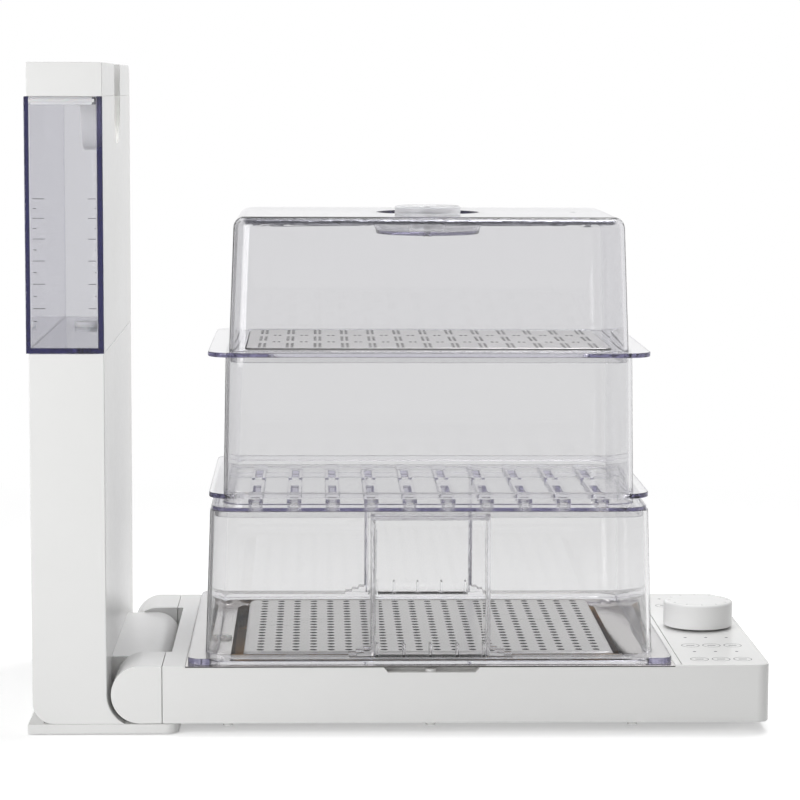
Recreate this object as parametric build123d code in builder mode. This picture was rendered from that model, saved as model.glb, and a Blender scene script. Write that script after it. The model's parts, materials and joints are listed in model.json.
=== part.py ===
from build123d import *
import os

# Folding three-tier food steamer. Millimetres: X runs along the base away from the tower,
# Y from front to back, Z up from the table. The origin is the middle of the footprint.

# Driving sizes of tower and base
body_depth = 238.5
wall = 2.5
ground_gap = 7.0
base_height = 34.8
base_reach = 376.8
ear_reach = 13.2
ear_depth_front = 44.0
ear_depth_back = 48.5
side_gap = 0.5
column_width = 44.2
column_gap = 19.8
column_top = 228.3
cap_seam = 378.7
tower_top = 398.5
foot_margin = 3.0
foot_reach = 23.0
foot_drop = 0.8
ear_clearance = 0.3
knuckle_radius = 14.4
notch_clearance = 2.3

# Driving sizes of the stack of trays: outlines as width and depth, heights from the table
stack_offset = 173.2
tier_wall = 2.4
tier_corner = 14.0
lower_low = (271.0, 206.0)
lower_high = (265.0, 200.0)
lower_rim = 131.7
middle_low = (250.0, 172.0)
middle_high = (247.0, 168.0)
middle_rim = 223.3
lid_low = (243.0, 160.0)
lid_high = (237.0, 152.0)
lid_top = 307.0

# Places that follow from them
tower_span = column_width + column_gap + foot_margin
hinge_x = tower_span - (tower_span + base_reach) / 2
hinge_z = ground_gap + base_height / 2
column_right = hinge_x - column_gap
column_left = column_right - column_width
column_x = (column_left + column_right) / 2
foot_left = column_left - foot_margin
foot_right = hinge_x + foot_reach
foot_top = ground_gap - ear_clearance
front = -body_depth / 2
back = body_depth / 2
base_top = ground_gap + base_height
base_right = hinge_x + base_reach
seam_x = hinge_x + ear_reach
notch_x = hinge_x + knuckle_radius + notch_clearance
knuckle_front = front + ear_depth_front + side_gap
knuckle_back = back - ear_depth_back - side_gap


def along_y(y):
    """The XZ plane at this Y, whose extrusions run towards the front."""
    return Plane.XZ.offset(-y)


# Foot plate, with seats for its rubber pads and holes for its screws
foot_corner = 8.0
pad_radius = 7.0
pad_seat = 1.0
pad_inset_x = 13.0
pad_inset_y = 20.0
fit_gap = 0.05
screw_radius = 1.5
screw_head_radius = 3.0
screw_head_depth = 2.0
foot_screw_length = 18.0
foot_screw_tip = foot_drop + screw_head_depth + foot_screw_length
boss_radius = 4.0
foot_boss_height = 24.0
foot_boss_spread = 12.0
pad_places = [
    (x, y)
    for x in (foot_left + pad_inset_x, foot_right - pad_inset_x)
    for y in (front + pad_inset_y, back - pad_inset_y)
]
foot_boss_places = [
    (column_x + x, y)
    for x in (-foot_boss_spread, foot_boss_spread)
    for y in (front + wall + boss_radius - 0.5, back - wall - boss_radius + 0.5)
]

with BuildPart() as foot_plate:
    with BuildSketch(Plane.XY.offset(foot_drop)):
        with Locations(((foot_left + foot_right) / 2, 0)):
            Rectangle(foot_right - foot_left, body_depth)
    extrude(amount=foot_top - foot_drop)
    fillet(foot_plate.edges().filter_by(Axis.Z).group_by(Axis.X)[-1], foot_corner)
    with BuildSketch(Plane.XY.offset(foot_drop)):
        with Locations(*pad_places):
            Circle(pad_radius + fit_gap)
    extrude(amount=pad_seat, mode=Mode.SUBTRACT)
    with BuildSketch(Plane.XY.offset(foot_drop)):
        with Locations(*foot_boss_places):
            Circle(screw_head_radius + fit_gap)
    extrude(amount=screw_head_depth, mode=Mode.SUBTRACT)
    with BuildSketch(Plane.XY.offset(foot_drop)):
        with Locations(*foot_boss_places):
            Circle(screw_radius + fit_gap)
    extrude(amount=foot_top - foot_drop, mode=Mode.SUBTRACT)

with BuildPart() as foot_pads:
    with BuildSketch():
        with Locations(*pad_places):
            Circle(pad_radius)
    extrude(amount=foot_drop + pad_seat)

with BuildPart() as foot_screws:
    with BuildSketch(Plane.XY.offset(foot_drop + fit_gap)):
        with Locations(*foot_boss_places):
            Circle(screw_head_radius)
    extrude(amount=screw_head_depth - fit_gap)
    with BuildSketch(Plane.XY.offset(foot_drop + screw_head_depth)):
        with Locations(*foot_boss_places):
            Circle(screw_radius)
    extrude(amount=foot_screw_length)

# Column: a moulded sleeve, open below, whose foot cradles the ears of the base
column_corner = 13.0
deck = 3.0
socket_radius = 14.0
socket_y = 40.0
cord_z = 42.0
cord_bush_radius = 7.0
cord_bush_depth = 6.0
cord_hole_radius = 3.4
board_left_gap = 6.0
board_thickness = 1.6
board_bottom = 60.0
board_top = 150.0
board_front = -98.0
board_back = -22.0
post_radius = 3.0
post_inset = 7.0
cradle_angle = 180 + 63.4
corner_centre = (column_left + column_corner, foot_top + column_corner)
board_x = column_left + wall + board_left_gap
board_post_places = [
    (y, z)
    for y in (board_front + post_inset, board_back - post_inset)
    for z in (board_bottom + post_inset, board_top - post_inset)
]

with BuildPart() as column_shell:
    with BuildSketch(Plane.XZ):
        with BuildLine():
            arc = CenterArc((hinge_x, hinge_z), column_gap, 180, cradle_angle - 180)
            toe = arc @ 1
            corner = CenterArc(corner_centre, column_corner, 180, 90)
            Polyline(toe, (toe.X, foot_top), corner @ 1)
            Polyline(corner @ 0, (column_left, column_top), (column_right, column_top), arc @ 0)
        make_face()
    extrude(amount=body_depth / 2, both=True)
    with BuildSketch(Plane.XZ):
        with BuildLine():
            inner = CenterArc(corner_centre, column_corner - wall, 180, 90)
            Polyline(inner @ 1, (column_left + column_corner, foot_top), (column_right - wall, foot_top),
                     (column_right - wall, column_top - deck), (column_left + wall, column_top - deck),
                     inner @ 0)
        make_face()
    extrude(amount=body_depth / 2 - wall, both=True, mode=Mode.SUBTRACT)
    with BuildSketch(along_y(knuckle_back)):
        with Locations(((column_right - wall + hinge_x) / 2, (foot_top + hinge_z + knuckle_radius) / 2)):
            Rectangle(hinge_x - column_right + wall, hinge_z + knuckle_radius - foot_top)
    extrude(amount=knuckle_back - knuckle_front, mode=Mode.SUBTRACT)
    with BuildSketch(Plane.XY.offset(foot_top)):
        with Locations(*foot_boss_places):
            Circle(boss_radius)
    extrude(amount=foot_boss_height)
    with BuildSketch(Plane.XY.offset(foot_top)):
        with Locations(*foot_boss_places):
            Circle(screw_radius + fit_gap)
    extrude(amount=foot_screw_tip - foot_top + fit_gap, mode=Mode.SUBTRACT)
    with BuildSketch(Plane.XY.offset(column_top - deck)):
        with Locations((column_x, socket_y)):
            Circle(socket_radius + fit_gap)
    extrude(amount=deck, mode=Mode.SUBTRACT)
    with BuildSketch(along_y(back)):
        with Locations((column_x, cord_z)):
            Circle(cord_bush_radius + fit_gap)
    extrude(amount=wall, mode=Mode.SUBTRACT)
    with BuildSketch(Plane.YZ.offset(column_left + wall)):
        with Locations(*board_post_places):
            Circle(post_radius)
    extrude(amount=board_left_gap)

with BuildPart() as cord_inlet:
    with BuildSketch(along_y(back)):
        with Locations((column_x, cord_z)):
            Circle(cord_bush_radius)
            Circle(cord_hole_radius, mode=Mode.SUBTRACT)
    extrude(amount=cord_bush_depth)
    with BuildSketch(along_y(back - wall)):
        with Locations((column_x, cord_z)):
            Circle(cord_bush_radius + wall / 2)
            Circle(cord_bush_radius, mode=Mode.SUBTRACT)
    extrude(amount=cord_bush_depth - wall)

# Power board on its posts, with the parts that stand on it
relay_height = 14.0
with BuildPart() as power_board:
    with BuildSketch(Plane.YZ.offset(board_x)):
        with Locations(((board_front + board_back) / 2, (board_bottom + board_top) / 2)):
            Rectangle(board_back - board_front, board_top - board_bottom)
    extrude(amount=board_thickness)
    with BuildSketch(Plane.YZ.offset(board_x + board_thickness)):
        with Locations((board_front + 22, board_top - 24)):
            Rectangle(26, 22)
        with Locations((board_back - 20, board_top - 22)):
            Rectangle(16, 28)
        with Locations((board_front + 20, board_bottom + 20)):
            Rectangle(20, 16)
    extrude(amount=relay_height)
    with BuildSketch(Plane.YZ.offset(board_x + board_thickness)):
        with Locations((board_back - 18, board_bottom + 20)):
            Circle(8)
    extrude(amount=relay_height)

# Socket in the deck that takes the neck of the tank, with its seal and valve pin
socket_wall = 2.0
socket_depth = 14.0
socket_flange = 3.0
outlet_radius = 3.2
outlet_bore = 2.0
outlet_length = 12.0
pin_radius = 1.2
pin_rib = 1.2
seal_height = 4.0
neck_radius = 9.0
neck_length = 8.0
socket_floor = column_top - socket_depth
stem_bottom = column_top - neck_length + 1.0

with BuildPart() as tank_socket:
    with BuildSketch(Plane.XY.offset(socket_floor)):
        with Locations((column_x, socket_y)):
            Circle(socket_radius)
    extrude(amount=socket_depth)
    with BuildSketch(Plane.XY.offset(column_top - deck - socket_wall)):
        with Locations((column_x, socket_y)):
            Circle(socket_radius + socket_flange)
    extrude(amount=socket_wall)
    with BuildSketch(Plane.XY.offset(socket_floor + socket_wall)):
        with Locations((column_x, socket_y)):
            Circle(socket_radius - socket_wall)
    extrude(amount=socket_depth - socket_wall, mode=Mode.SUBTRACT)
    with BuildSketch(Plane.XY.offset(socket_floor - outlet_length)):
        with Locations((column_x, socket_y)):
            Circle(outlet_radius)
    extrude(amount=outlet_length)
    with BuildSketch(Plane.XY.offset(socket_floor - outlet_length)):
        with Locations((column_x, socket_y)):
            Circle(outlet_bore)
    extrude(amount=outlet_length + socket_wall, mode=Mode.SUBTRACT)
    with BuildSketch(Plane.XY.offset(socket_floor)):
        with Locations((column_x, socket_y)):
            Rectangle(2 * outlet_bore + pin_rib, pin_rib)
    extrude(amount=socket_wall)
    with BuildSketch(Plane.XY.offset(socket_floor)):
        with Locations((column_x, socket_y)):
            Circle(pin_radius)
    extrude(amount=stem_bottom - socket_floor)

with BuildPart() as socket_seal:
    with BuildSketch(Plane.XY.offset(socket_floor + socket_wall)):
        with Locations((column_x, socket_y)):
            Circle(socket_radius - socket_wall - fit_gap)
            Circle(neck_radius - socket_wall, mode=Mode.SUBTRACT)
    extrude(amount=seal_height)

# Water pump on its saddle, and the hoses from the socket to the pump and on to the hinge
pump_radius = 14.0
pump_head = 14.0
motor_radius = 11.5
motor_length = 34.0
saddle_length = 20.0
saddle_width = 17.0
pump_z = hinge_z
port_length = 10.0
hose_wall = 1.6
hose_overlap = 8.0
hose_radius = outlet_radius + fit_gap + hose_wall
pump_top = pump_z + pump_radius
pump_right = column_x + pump_radius

with BuildPart() as pump_saddle:
    with BuildSketch(along_y(socket_y - pump_head / 2 - 4)):
        with Locations((column_x, (foot_top + pump_z) / 2)):
            Rectangle(saddle_width, pump_z - foot_top)
        with Locations((column_x, pump_z)):
            Circle(motor_radius + fit_gap, mode=Mode.SUBTRACT)
    extrude(amount=saddle_length)

with BuildPart() as water_pump:
    with BuildSketch(along_y(socket_y + pump_head / 2)):
        with Locations((column_x, pump_z)):
            Circle(pump_radius)
    extrude(amount=pump_head)
    with BuildSketch(along_y(socket_y - pump_head / 2)):
        with Locations((column_x, pump_z)):
            Circle(motor_radius)
    extrude(amount=motor_length)
    with BuildSketch(Plane.XY.offset(pump_z)):
        with Locations((column_x, socket_y)):
            Circle(outlet_radius)
    extrude(amount=pump_radius + port_length)
    with BuildSketch(Plane.YZ.offset(column_x)):
        with Locations((socket_y, pump_z)):
            Circle(outlet_radius)
    extrude(amount=pump_radius + port_length)

with BuildPart() as tank_hose:
    with BuildSketch(Plane.XY.offset(pump_top + port_length - hose_overlap)):
        with Locations((column_x, socket_y)):
            Circle(hose_radius)
            Circle(outlet_radius + fit_gap, mode=Mode.SUBTRACT)
    extrude(amount=socket_floor - outlet_length + hose_overlap - pump_top - port_length + hose_overlap)

with BuildPart() as pump_hose:
    with BuildSketch(Plane.YZ.offset(pump_right + port_length - hose_overlap)):
        with Locations((socket_y, pump_z)):
            Circle(hose_radius)
            Circle(outlet_radius + fit_gap, mode=Mode.SUBTRACT)
    extrude(amount=hinge_x - pump_right - port_length + hose_overlap)

# Hinge knuckle of the column, between the ears of the base, with its two pins
hinge_pin_radius = 5.0
hinge_pin_bore = 2.6
pin_in_knuckle = 16.0
pin_in_ear = 26.0
bush_wall = 2.0
bush_length = 24.0
ear_front_face = front + ear_depth_front
ear_back_face = back - ear_depth_back

with BuildPart() as hinge_knuckle:
    with BuildSketch(along_y(knuckle_back)):
        with Locations(((column_right - wall + hinge_x) / 2, (foot_top + hinge_z + knuckle_radius) / 2)):
            Rectangle(hinge_x - column_right + wall, hinge_z + knuckle_radius - foot_top)
        with Locations((hinge_x, hinge_z)):
            Circle(knuckle_radius)
    extrude(amount=knuckle_back - knuckle_front)
    for start in (knuckle_front + pin_in_knuckle, knuckle_back):
        with BuildSketch(along_y(start)):
            with Locations((hinge_x, hinge_z)):
                Circle(hinge_pin_radius + fit_gap)
        extrude(amount=pin_in_knuckle, mode=Mode.SUBTRACT)
    with BuildSketch(Plane.YZ.offset(column_right - wall)):
        with Locations((socket_y, hinge_z)):
            Circle(hose_radius + fit_gap)
    extrude(amount=hinge_x - column_right + wall, mode=Mode.SUBTRACT)
    with BuildSketch(along_y(knuckle_back - pin_in_knuckle)):
        with Locations((hinge_x, hinge_z)):
            Circle(hinge_pin_bore)
    extrude(amount=knuckle_back - pin_in_knuckle - socket_y, mode=Mode.SUBTRACT)

with BuildPart() as hinge_pins:
    with BuildSketch(along_y(knuckle_front + pin_in_knuckle)):
        with Locations((hinge_x, hinge_z)):
            Circle(hinge_pin_radius)
    extrude(amount=pin_in_knuckle + side_gap + pin_in_ear)
    with BuildSketch(along_y(ear_back_face + pin_in_ear)):
        with Locations((hinge_x, hinge_z)):
            Circle(hinge_pin_radius)
            Circle(hinge_pin_bore, mode=Mode.SUBTRACT)
    extrude(amount=pin_in_knuckle + side_gap + pin_in_ear)

# Ears of the base: rounded end caps bored for the bushes that turn on the pins
bush_radius = hinge_pin_radius + fit_gap + bush_wall
pan_hose_radius = 3.0
ear_pin_room = 1.0
ear_screw_spread = 11.5
ear_screw_length = 12.0
ear_screw_places = [
    (y, hinge_z + z)
    for y in (front + ear_depth_front / 2, back - ear_depth_back / 2)
    for z in (-ear_screw_spread, ear_screw_spread)
]


def ear(y_back, depth, bore_start):
    """One ear, bored from its inner face, whose extrusion starts at y_back."""
    with BuildPart() as piece:
        with BuildSketch(along_y(y_back)):
            with BuildLine():
                nose = CenterArc((hinge_x, hinge_z), base_height / 2, 90, 180)
                Polyline(nose @ 1, (seam_x, ground_gap), (seam_x, base_top), nose @ 0)
            make_face()
        extrude(amount=depth)
        with BuildSketch(along_y(bore_start)):
            with Locations((hinge_x, hinge_z)):
                Circle(bush_radius + fit_gap)
        extrude(amount=pin_in_ear + ear_pin_room, mode=Mode.SUBTRACT)
        with BuildSketch(Plane.YZ.offset(seam_x - ear_screw_length)):
            with Locations(*ear_screw_places):
                Circle(screw_radius + fit_gap)
        extrude(amount=ear_screw_length, mode=Mode.SUBTRACT)
    return piece


ear_front = ear(ear_front_face, ear_depth_front, ear_front_face)
ear_back_blank = ear(back, ear_depth_back, ear_back_face + pin_in_ear + ear_pin_room).part
duct_y = ear_back_face + pin_in_ear + ear_pin_room + 5.0

with BuildPart() as ear_back:
    add(ear_back_blank)
    with BuildSketch(along_y(duct_y)):
        with Locations((hinge_x, hinge_z)):
            Circle(hinge_pin_bore)
    extrude(amount=duct_y - ear_back_face - pin_in_ear, mode=Mode.SUBTRACT)
    with BuildSketch(Plane.YZ.offset(hinge_x)):
        with Locations((duct_y, hinge_z)):
            Circle(pan_hose_radius + fit_gap)
    extrude(amount=ear_reach, mode=Mode.SUBTRACT)

with BuildPart() as hinge_bushes:
    for start in (ear_front_face, ear_back_face + bush_length):
        with BuildSketch(along_y(start)):
            with Locations((hinge_x, hinge_z)):
                Circle(bush_radius)
                Circle(hinge_pin_radius + fit_gap, mode=Mode.SUBTRACT)
        extrude(amount=bush_length)

# Base shell: top and side walls in one moulding, open below
base_corner = 8.0
pan_left = hinge_x + 26.8
pan_right = hinge_x + 319.6
pan_flange = 0.8
flange_seat = 1.0
basin_left = hinge_x + 36.0
basin_right = pan_right - 9.0
basin_corner = 14.0
gasket_width = 2.0
cavity_left = notch_x + wall
panel_left = hinge_x + 324.0
panel_margin = 1.2
panel_thickness = 2.0
panel_ledge = 2.0
panel_seam = 0.4
grip_left = hinge_x + 145.2
grip_right = hinge_x + 202.5
grip_height = 3.0
grip_depth = 7.5
grip_slope = 2.4
grip_wall = 2.0
ledge_bottom = base_top - panel_thickness - panel_ledge
ledge_left = pan_right + 2.0
basin_x = (basin_left + basin_right) / 2
basin_width = basin_right - basin_left
seat_z = base_top - flange_seat
knob_x = hinge_x + 349.4
knob_y = front + 123.0
shaft_radius = 3.0
shaft_clearance = 0.05
bushing_radius = 4.5
light_radius = 1.0
light_columns = (knob_x - 13.0, knob_x, knob_x + 13.0)
light_rows = (front + 41.0, front + 85.0, front + 219.0)
light_places = [(x, y) for x in light_columns for y in light_rows]
cover_thickness = 2.0
base_boss_radius = 3.4
base_screw_length = 14.0
base_screw_inset = 3.2
basin_side_gap = 1.35
basin_depth_y = body_depth - 2 * (wall + 2 * base_screw_inset + gasket_width + basin_side_gap)
base_boss_places = [
    (x, y)
    for x in (basin_left + 16, basin_x, basin_right - 16)
    for y in (front + wall + base_screw_inset, back - wall - base_screw_inset)
]
control_board_z = ledge_bottom - 9.0
control_board_places = [
    (x, y) for x in (knob_x - 17, knob_x + 17) for y in (front + 20, back - 30)
]
ear_screw_head = 2.0



def panel_outline(left, gap):
    """The top of the control panel from this left edge, drawn in by the gap on its other sides."""
    right = base_right - panel_margin - gap
    with BuildSketch(Plane.XY.offset(base_top - panel_thickness)) as outline:
        with Locations(((left + right) / 2, 0)):
            Rectangle(right - left, body_depth - 2 * panel_margin - 2 * gap)
        fillet(outline.vertices().group_by(Axis.X)[-1], base_corner - panel_margin - gap)
    return outline.sketch


panel_seat = panel_outline(panel_left - panel_seam, 0)
panel_face = panel_outline(panel_left, fit_gap)

with BuildPart() as base_shell:
    with BuildSketch(Plane.XY.offset(ground_gap)):
        with Locations(((seam_x + base_right) / 2, 0)):
            Rectangle(base_right - seam_x, body_depth)
    extrude(amount=base_height)
    fillet(base_shell.edges().filter_by(Axis.Z).group_by(Axis.X)[-1], base_corner)
    with BuildSketch(Plane.XY.offset(ground_gap)):
        with Locations(((cavity_left + ledge_left) / 2, 0)):
            Rectangle(ledge_left - cavity_left, body_depth - 2 * wall)
    extrude(amount=base_height - wall, mode=Mode.SUBTRACT)
    with BuildSketch(Plane.XY.offset(ground_gap)):
        with Locations(((ledge_left + base_right - wall) / 2, 0)):
            Rectangle(base_right - wall - ledge_left, body_depth - 2 * wall)
    extrude(amount=ledge_bottom - ground_gap, mode=Mode.SUBTRACT)
    with BuildSketch(Plane.XY.offset(ground_gap)):
        with Locations(((seam_x + notch_x) / 2, (ear_front_face + ear_back_face) / 2)):
            Rectangle(notch_x - seam_x, ear_back_face - ear_front_face)
    extrude(amount=base_height, mode=Mode.SUBTRACT)
    with BuildSketch(Plane.XY.offset(seat_z)):
        with Locations(((pan_left + pan_right) / 2, 0)):
            Rectangle(pan_right - pan_left + 2 * fit_gap, body_depth)
    extrude(amount=flange_seat, mode=Mode.SUBTRACT)
    extrude(panel_seat, amount=panel_thickness, mode=Mode.SUBTRACT)
    with BuildSketch(Plane.XY.offset(seat_z - wall)):
        with Locations((basin_x, 0)):
            RectangleRounded(
                basin_width + 2 * gasket_width, basin_depth_y + 2 * gasket_width, basin_corner + gasket_width
            )
    extrude(amount=wall, mode=Mode.SUBTRACT)
    with BuildSketch(Plane.XY.offset(seat_z - grip_height - grip_wall)):
        with Locations(((grip_left + grip_right) / 2, front + (grip_depth + grip_wall) / 2)):
            Rectangle(grip_right - grip_left + 2 * grip_wall, grip_depth + grip_wall)
    extrude(amount=grip_height + grip_wall)
    with BuildSketch(along_y(front + grip_depth)):
        with BuildLine():
            Polyline(
                (grip_left, seat_z), (grip_left + grip_slope, seat_z - grip_height),
                (grip_right - grip_slope, seat_z - grip_height), (grip_right, seat_z), close=True,
            )
        make_face()
    extrude(amount=grip_depth, mode=Mode.SUBTRACT)
    with BuildSketch(Plane.XY.offset(ground_gap + cover_thickness)):
        with Locations(*base_boss_places):
            Circle(base_boss_radius)
    extrude(amount=base_height - wall - cover_thickness)
    with BuildSketch(Plane.XY.offset(ground_gap + cover_thickness)):
        with Locations(*base_boss_places):
            Circle(screw_radius + fit_gap)
    extrude(amount=base_screw_length, mode=Mode.SUBTRACT)
    with BuildSketch(Plane.XY.offset(control_board_z + board_thickness)):
        with Locations(*control_board_places):
            Circle(post_radius)
    extrude(amount=ledge_bottom - control_board_z - board_thickness)
    with BuildSketch(Plane.XY.offset(ledge_bottom)):
        with Locations((knob_x, knob_y)):
            Circle(bushing_radius + fit_gap)
        with Locations(*light_places):
            Circle(light_radius + fit_gap)
    extrude(amount=panel_ledge, mode=Mode.SUBTRACT)
    with BuildSketch(Plane.YZ.offset(seam_x)):
        with Locations(*ear_screw_places):
            Circle(screw_radius + fit_gap)
        with Locations((duct_y, hinge_z)):
            Circle(pan_hose_radius + fit_gap)
    extrude(amount=cavity_left - seam_x, mode=Mode.SUBTRACT)

with BuildPart() as ear_screws:
    with BuildSketch(Plane.YZ.offset(seam_x - ear_screw_length + fit_gap)):
        with Locations(*ear_screw_places):
            Circle(screw_radius)
    extrude(amount=ear_screw_length + cavity_left - seam_x)
    with BuildSketch(Plane.YZ.offset(cavity_left)):
        with Locations(*ear_screw_places):
            Circle(screw_head_radius)
    extrude(amount=ear_screw_head)

# Bottom cover of the base with its screws and rubber feet
cover_gap = 0.15
foot_radius = 8.0
foot_plug = 4.0
base_foot_places = [
    (x, y) for x in (hinge_x + 50, base_right - 26) for y in (front + 39, back - 39)
]

with BuildPart() as base_cover:
    with BuildSketch(Plane.XY.offset(ground_gap)):
        with Locations(((cavity_left + base_right - wall) / 2, 0)):
            Rectangle(
                base_right - wall - cavity_left - 2 * cover_gap, body_depth - 2 * wall - 2 * cover_gap
            )
    extrude(amount=cover_thickness)
    with BuildSketch(Plane.XY.offset(ground_gap)):
        with Locations(*base_boss_places):
            Circle(screw_radius + fit_gap)
        with Locations(*base_foot_places):
            Circle(foot_plug + fit_gap)
    extrude(amount=cover_thickness, mode=Mode.SUBTRACT)

with BuildPart() as base_screws:
    with BuildSketch(Plane.XY.offset(ground_gap)):
        with Locations(*base_boss_places):
            Circle(screw_radius)
    extrude(amount=cover_thickness + base_screw_length - fit_gap)
    with BuildSketch(Plane.XY.offset(ground_gap - ear_screw_head)):
        with Locations(*base_boss_places):
            Circle(screw_head_radius)
    extrude(amount=ear_screw_head)

with BuildPart() as base_feet:
    with BuildSketch():
        with Locations(*base_foot_places):
            Circle(foot_radius)
    extrude(amount=ground_gap)
    with BuildSketch(Plane.XY.offset(ground_gap)):
        with Locations(*base_foot_places):
            Circle(foot_plug)
    extrude(amount=cover_thickness)

# Steel pan: flange, shelf beside the inlet and the deep basin
sheet = 0.8
shelf_drop = 4.0
shelf_right = hinge_x + 57.0
basin_floor = ground_gap + 13.4
inlet_x = hinge_x + 46.0
inlet_y = front + 107.0
inlet_radius = 4.0
inlet_bore = 2.0
inlet_flange = 1.4
nipple_wall = 0.8
hose_bend = 12.0
shelf_z = seat_z - shelf_drop

with BuildPart() as steam_pan:
    with BuildSketch(Plane.XY.offset(seat_z)):
        with Locations(((pan_left + pan_right) / 2, 0)):
            Rectangle(pan_right - pan_left, body_depth - 2 * fit_gap)
    extrude(amount=pan_flange)
    with BuildSketch(Plane.XY.offset(shelf_z)):
        with Locations((basin_x, 0)):
            RectangleRounded(basin_width, basin_depth_y, basin_corner)
    extrude(amount=shelf_drop)
    with BuildSketch(Plane.XY.offset(basin_floor)):
        with Locations(((shelf_right + basin_right) / 2, 0)):
            RectangleRounded(basin_right - shelf_right, basin_depth_y, basin_corner)
    extrude(amount=shelf_z - basin_floor)
    with BuildSketch(Plane.XY.offset(shelf_z + sheet)):
        with Locations((basin_x, 0)):
            RectangleRounded(basin_width - 2 * sheet, basin_depth_y - 2 * sheet, basin_corner - sheet)
    extrude(amount=shelf_drop + pan_flange, mode=Mode.SUBTRACT)
    with BuildSketch(Plane.XY.offset(basin_floor + sheet)):
        with Locations(((shelf_right + basin_right) / 2, 0)):
            RectangleRounded(
                basin_right - shelf_right - 2 * sheet, basin_depth_y - 2 * sheet, basin_corner - sheet
            )
    extrude(amount=shelf_z - basin_floor, mode=Mode.SUBTRACT)
    with BuildSketch(Plane.XY.offset(shelf_z)):
        with Locations((inlet_x, inlet_y)):
            Circle(inlet_radius + fit_gap)
    extrude(amount=sheet, mode=Mode.SUBTRACT)

with BuildPart() as pan_gasket:
    with BuildSketch(Plane.XY.offset(seat_z - wall + flange_seat)):
        with Locations((basin_x, 0)):
            RectangleRounded(
                basin_width + 2 * gasket_width - 2 * fit_gap,
                basin_depth_y + 2 * gasket_width - 2 * fit_gap,
                basin_corner + gasket_width - fit_gap,
            )
            RectangleRounded(
                basin_width + 2 * fit_gap, basin_depth_y + 2 * fit_gap, basin_corner + fit_gap,
                mode=Mode.SUBTRACT,
            )
    extrude(amount=wall - flange_seat)

nipple_length = 9.0
inlet_bottom = hinge_z - inlet_radius

with BuildPart() as pan_inlet:
    with BuildSketch(Plane.XY.offset(inlet_bottom)):
        with Locations((inlet_x, inlet_y)):
            Circle(inlet_radius)
    extrude(amount=shelf_z + sheet - inlet_bottom)
    with BuildSketch(Plane.XY.offset(shelf_z + sheet)):
        with Locations((inlet_x, inlet_y)):
            Circle(inlet_radius + inlet_flange)
    extrude(amount=inlet_flange)
    with BuildSketch(along_y(inlet_y + inlet_radius + nipple_length)):
        with Locations((inlet_x, hinge_z)):
            Circle(inlet_bore)
    extrude(amount=inlet_radius + nipple_length)
    with BuildSketch(Plane.XY.offset(hinge_z)):
        with Locations((inlet_x, inlet_y)):
            Circle(inlet_bore)
    extrude(amount=shelf_z + sheet + inlet_flange - hinge_z, mode=Mode.SUBTRACT)
    with BuildSketch(along_y(inlet_y + inlet_radius + nipple_length)):
        with Locations((inlet_x, hinge_z)):
            Circle(inlet_bore - nipple_wall)
    extrude(amount=inlet_radius + nipple_length, mode=Mode.SUBTRACT)

# Hose in the base, from the duct of the rear ear to the nipple of the pan inlet
hose_start = (seam_x - 8.0, duct_y, hinge_z)
with BuildPart() as pan_hose:
    with BuildLine():
        FilletPolyline(
            hose_start,
            (inlet_x, duct_y, hinge_z),
            (inlet_x, inlet_y + inlet_radius, hinge_z),
            radius=hose_bend,
        )
    with BuildSketch(Plane(origin=hose_start, z_dir=(1, 0, 0))):
        Circle(pan_hose_radius)
        Circle(inlet_bore + fit_gap, mode=Mode.SUBTRACT)
    sweep()

# Heater under the basin: a cast plate with a bent tubular element in its groove
heater_width = 176.0
heater_depth = 116.0
heater_thickness = 6.6
element_radius = 3.2
element_spread = 36.0
element_reach = 66.0
element_tail = 30.0
heater_x = (shelf_right + basin_right) / 2
heater_z = basin_floor - heater_thickness
element_z = heater_z + element_radius - 1.0


def element_path():
    """The hairpin of the tubular element, opening towards the far end of the base."""
    return FilletPolyline(
        (heater_x + element_reach + element_tail, -element_spread, element_z),
        (heater_x - element_reach, -element_spread, element_z),
        (heater_x - element_reach, element_spread, element_z),
        (heater_x + element_reach + element_tail, element_spread, element_z),
        radius=element_spread - 4,
    )


element_start = Plane(
    origin=(heater_x + element_reach + element_tail, -element_spread, element_z), z_dir=(-1, 0, 0)
)

with BuildPart() as heater_plate:
    with BuildSketch(Plane.XY.offset(heater_z)):
        with Locations((heater_x, 0)):
            RectangleRounded(heater_width, heater_depth, 20)
    extrude(amount=heater_thickness)
    with BuildLine():
        element_path()
    with BuildSketch(element_start):
        Circle(element_radius + fit_gap)
    sweep(mode=Mode.SUBTRACT)

with BuildPart() as heating_element:
    with BuildLine():
        element_path()
    with BuildSketch(element_start):
        Circle(element_radius)
    sweep()

thermostat_radius = 9.0
thermostat_height = 3.4
with BuildPart() as thermostat:
    with BuildSketch(Plane.XY.offset(heater_z - thermostat_height)):
        with Locations((heater_x, 0)):
            Circle(thermostat_radius)
    extrude(amount=thermostat_height)

# Control panel with its lights, board and rotary switch
with BuildPart() as control_panel:
    extrude(panel_face, amount=panel_thickness)
    with BuildSketch(Plane.XY.offset(base_top - panel_thickness)):
        with Locations((knob_x, knob_y)):
            Circle(bushing_radius + fit_gap)
        with Locations(*light_places):
            Circle(light_radius + fit_gap)
    extrude(amount=panel_thickness, mode=Mode.SUBTRACT)

with BuildPart() as indicator_lights:
    with BuildSketch(Plane.XY.offset(control_board_z + board_thickness)):
        with Locations(*light_places):
            Circle(light_radius)
    extrude(amount=base_top - control_board_z - board_thickness)

control_board_margin = 4.0
with BuildPart() as control_board:
    with BuildSketch(Plane.XY.offset(control_board_z)):
        with Locations((knob_x, (control_board_places[0][1] + control_board_places[1][1]) / 2)):
            Rectangle(
                control_board_places[2][0] - control_board_places[0][0] + 2 * control_board_margin,
                control_board_places[1][1] - control_board_places[0][1] + 2 * control_board_margin,
            )
    extrude(amount=board_thickness)

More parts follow.
